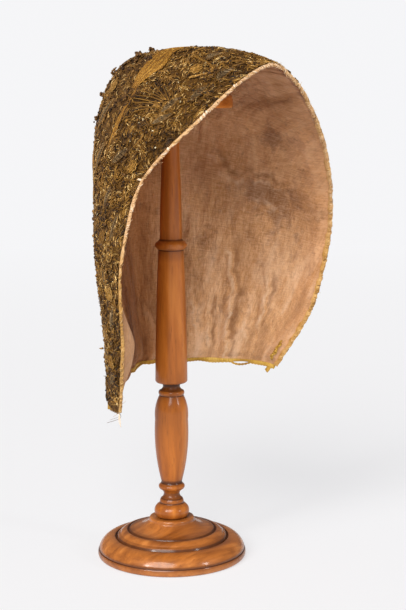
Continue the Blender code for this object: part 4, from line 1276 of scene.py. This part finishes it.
def makeStand():
    base = turnedPiece("turned_base", (0, 0), [
        (53.0, 0, 0, 1, 0.6), (55.0, 2.4, 0.6, 2, 0.1), (54.6, 5.0, 0.2, 2, 0.1), (54.0, 5.6, 0, 1, 1),
        (54.1, 6.6, 0, 1, 0.5), (42.4, 14.8, 2.4, 5, 0), (41.3, 13.4, 0, 1, 1), (40.3, 15.4, 0, 1, 0.8),
        (38.4, 16.95, 0.3, 1, 0.22), (33.4, 19.9, 0.6, 3, 0), (32.3, 18.8, 0, 1, 1), (31.3, 20.4, 0, 1, 0.8),
        (28.6, 20.85, 0, 1, 0.25), (16.6, 26.6, -1.2, 4, 0), (16.2, 29.0, 0.3, 1, 0), (6.3, 29.0, 0, 1, 0.2),
        (6.3, 12.0, 0, 1, 0.5), (0, 12.0, 0, 1, 0.5)], woodFinish("base", (0.10, 1, 1), 0.6))
    stem = turnedPiece("turned_stem", (0, 12.4), [
        (6.0, 12.4, 0, 1, 0), (6.0, 29.4, 0, 1, 0), (11.4, 29.4, 0, 1, 1), (9.2, 39.6, 2.6, 6, 0),
        (8.9, 40.2, 0, 1, 0.9), (8.3, 42.8, 0.2, 2, 0.1), (7.9, 43.4, 0, 1, 0.8), (5.9, 47.2, -0.6, 3, 0.5),
        (9.0, 50.6, -0.5, 2, 0), (8.2, 54.4, 1.1, 3, 0), (7.6, 56.0, 0, 1, 1), (12.2, 103.0, 1.9, 7, 0),
        (9.1, 120.8, 1.3, 4, 0), (8.9, 121.4, 0, 1, 0.9), (9.0, 124.6, 0.6, 3, 0), (6.2, 127.6, -0.5, 2, 0.6),
        (6.6, 130.4, 0, 1, 1), (10.45, 130.6, 0, 1, 0.8), (11.85, 133.0, 0.5, 2, 0), (9.32, 227.7, 0.4, 4, 0),
        (9.3, 228.4, 0, 1, 0.9), (9.2, 234.9, 2.4, 5, 0), (8.2, 236.2, 0, 1, 0.7), (8.1, 237.0, 0, 1, 0),
        (6.5, 292.0, 0.33, 3, 0), (5.8, 329.6, 0, 1, 0), (4.8, 329.6, 0, 1, 0), (4.8, 340.2, 0, 1, 0),
        (0, 340.2, 0, 1, 0)], woodFinish("stem", (1, 1, 0.09), 0.45), 72, 3)
    head = turnedPiece("turned_head", (0, 341.0), [
        (5.2, 341.0, 0, 1, 0), (5.2, 330.0, 0, 1, 0.5), (43.3, 330.0, 0, 1, 0), (44.5, 331.4, 0.3, 1, 0),
        (44.1, 336.6, 0.2, 1, 0), (41.1, 340.6, 0.7, 2, 0), (0, 365.6, 5.6, 6, 0)],
        woodFinish("head", (0.10, 1, 1), 0.3))
    return base, stem, head


studio = {
    "floor": (0.30, 0.30, 0.305), "glow": (0.61, 0.61, 0.625), "backdrop": (0.918, 0.918, 0.934),
    "ambient": (1.0, 0.965, 0.92), "ambientStrength": 0.20, "floorReach": 40, "floorBelow": 0.0002,
    "fadeFrom": 0.3, "fadeTo": 2.2, "aim": (0, 0, 0.22),
    "suns": {"key": {"from": (-0.35, -1.0, 1.05), "spread": 40, "power": 3.2, "colour": (1.0, 0.98, 0.95)},
             "side": {"from": (1.2, -0.55, 0.8), "spread": 40, "power": 0.15, "colour": (1.0, 0.98, 0.96)}},
    "boxes": {"left_box": {"from": (-0.9, -1.1, 0.75), "size": (0.16, 0.34), "power": 4.5},
              "right_box": {"from": (1.1, -0.7, 0.65), "size": (0.12, 0.30), "power": 2.6}},
}


def addLight(name, kind, at, power, colour):
    light = bpy.data.lights.new(name, kind)
    light.energy, light.color = power, colour
    holder = bpy.data.objects.new(name, light)
    holder.location = at
    holder.rotation_euler = (Vector(studio["aim"]) - at).to_track_quat("-Z", "Y").to_euler()
    bpy.context.collection.objects.link(holder)
    return light


def makeStudio():
    f = Finish("pale_floor", {"Roughness": 0.9, "Specular IOR Level": 0.0, "Emission Strength": 1.0})
    reach = f.node("ShaderNodeVectorMath", {"operation": "LENGTH"}, {0: f.place()}, 1)
    far = reach.between(studio["fadeFrom"], studio["fadeTo"])
    f.feed("Base Color", f.blend(far, studio["floor"], (0.0, 0.0, 0.0)))
    f.feed("Emission Color", f.blend(far, studio["glow"], studio["backdrop"]))
    turns = 2 * math.pi * np.arange(64) / 64
    rim = np.stack([np.cos(turns), np.sin(turns), 0 * turns], -1) * studio["floorReach"]
    mesh = bpy.data.meshes.new("floor")
    mesh.from_pydata(rim.tolist(), [], [list(range(len(rim)))])
    mesh.materials.append(f.material)
    floor = bpy.data.objects.new("floor", mesh)
    floor.location.z = -studio["floorBelow"]
    bpy.context.collection.objects.link(floor)
    world = bpy.data.worlds.new("studio_light")
    world.use_nodes = True
    tree = world.node_tree
    seen, lit, mix, ray = (tree.nodes.new(kind) for kind in ("ShaderNodeBackground", "ShaderNodeBackground",
                                                             "ShaderNodeMixShader", "ShaderNodeLightPath"))
    seen.inputs["Color"].default_value = (*studio["backdrop"], 1)
    lit.inputs["Color"].default_value = (*studio["ambient"], 1)
    lit.inputs["Strength"].default_value = studio["ambientStrength"]
    tree.links.new(ray.outputs["Is Camera Ray"], mix.inputs[0])
    tree.links.new(lit.outputs[0], mix.inputs[1])
    tree.links.new(seen.outputs[0], mix.inputs[2])
    tree.links.new(mix.outputs[0], tree.nodes["World Output"].inputs[0])
    bpy.context.scene.world = world
    for name, lamp in studio["suns"].items():
        light = addLight(name, "SUN", fromCamera(*lamp["from"]), lamp["power"], lamp["colour"])
        light.angle = math.radians(lamp["spread"])
    for name, lamp in studio["boxes"].items():
        light = addLight(name, "AREA", fromCamera(*lamp["from"]), lamp["power"], (1, 1, 1))
        light.shape = "RECTANGLE"
        light.size, light.size_y = lamp["size"]
    bpy.context.scene.view_settings.view_transform = "Standard"


makeStudio()
base, stem, head = makeStand()
print("stand made")
bandCloth, backCloth, lining = makeCloth()
bandThreads, backThreads = stitchRegion("band"), stitchRegion("back")
tuftPieces = makeTufts()
braidPieces = makeBraid()
bindingPieces = makeFrontBinding()
napePieces = makeNape()
looseThreads = makeLooseEnds()
print("coif made")

for piece, node in (
        (base, "stand_base"), (stem, "stand_stem"), (head, "stand_head"), (bandCloth, "front_band"),
        (backCloth, "back_crown"), (lining, "lining"), (braidPieces[0], "seam_braid"),
        (bindingPieces[0], "front_binding"), (napePieces[0], "nape_binding"), (napePieces[1], "nape_lace")):
    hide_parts(node)
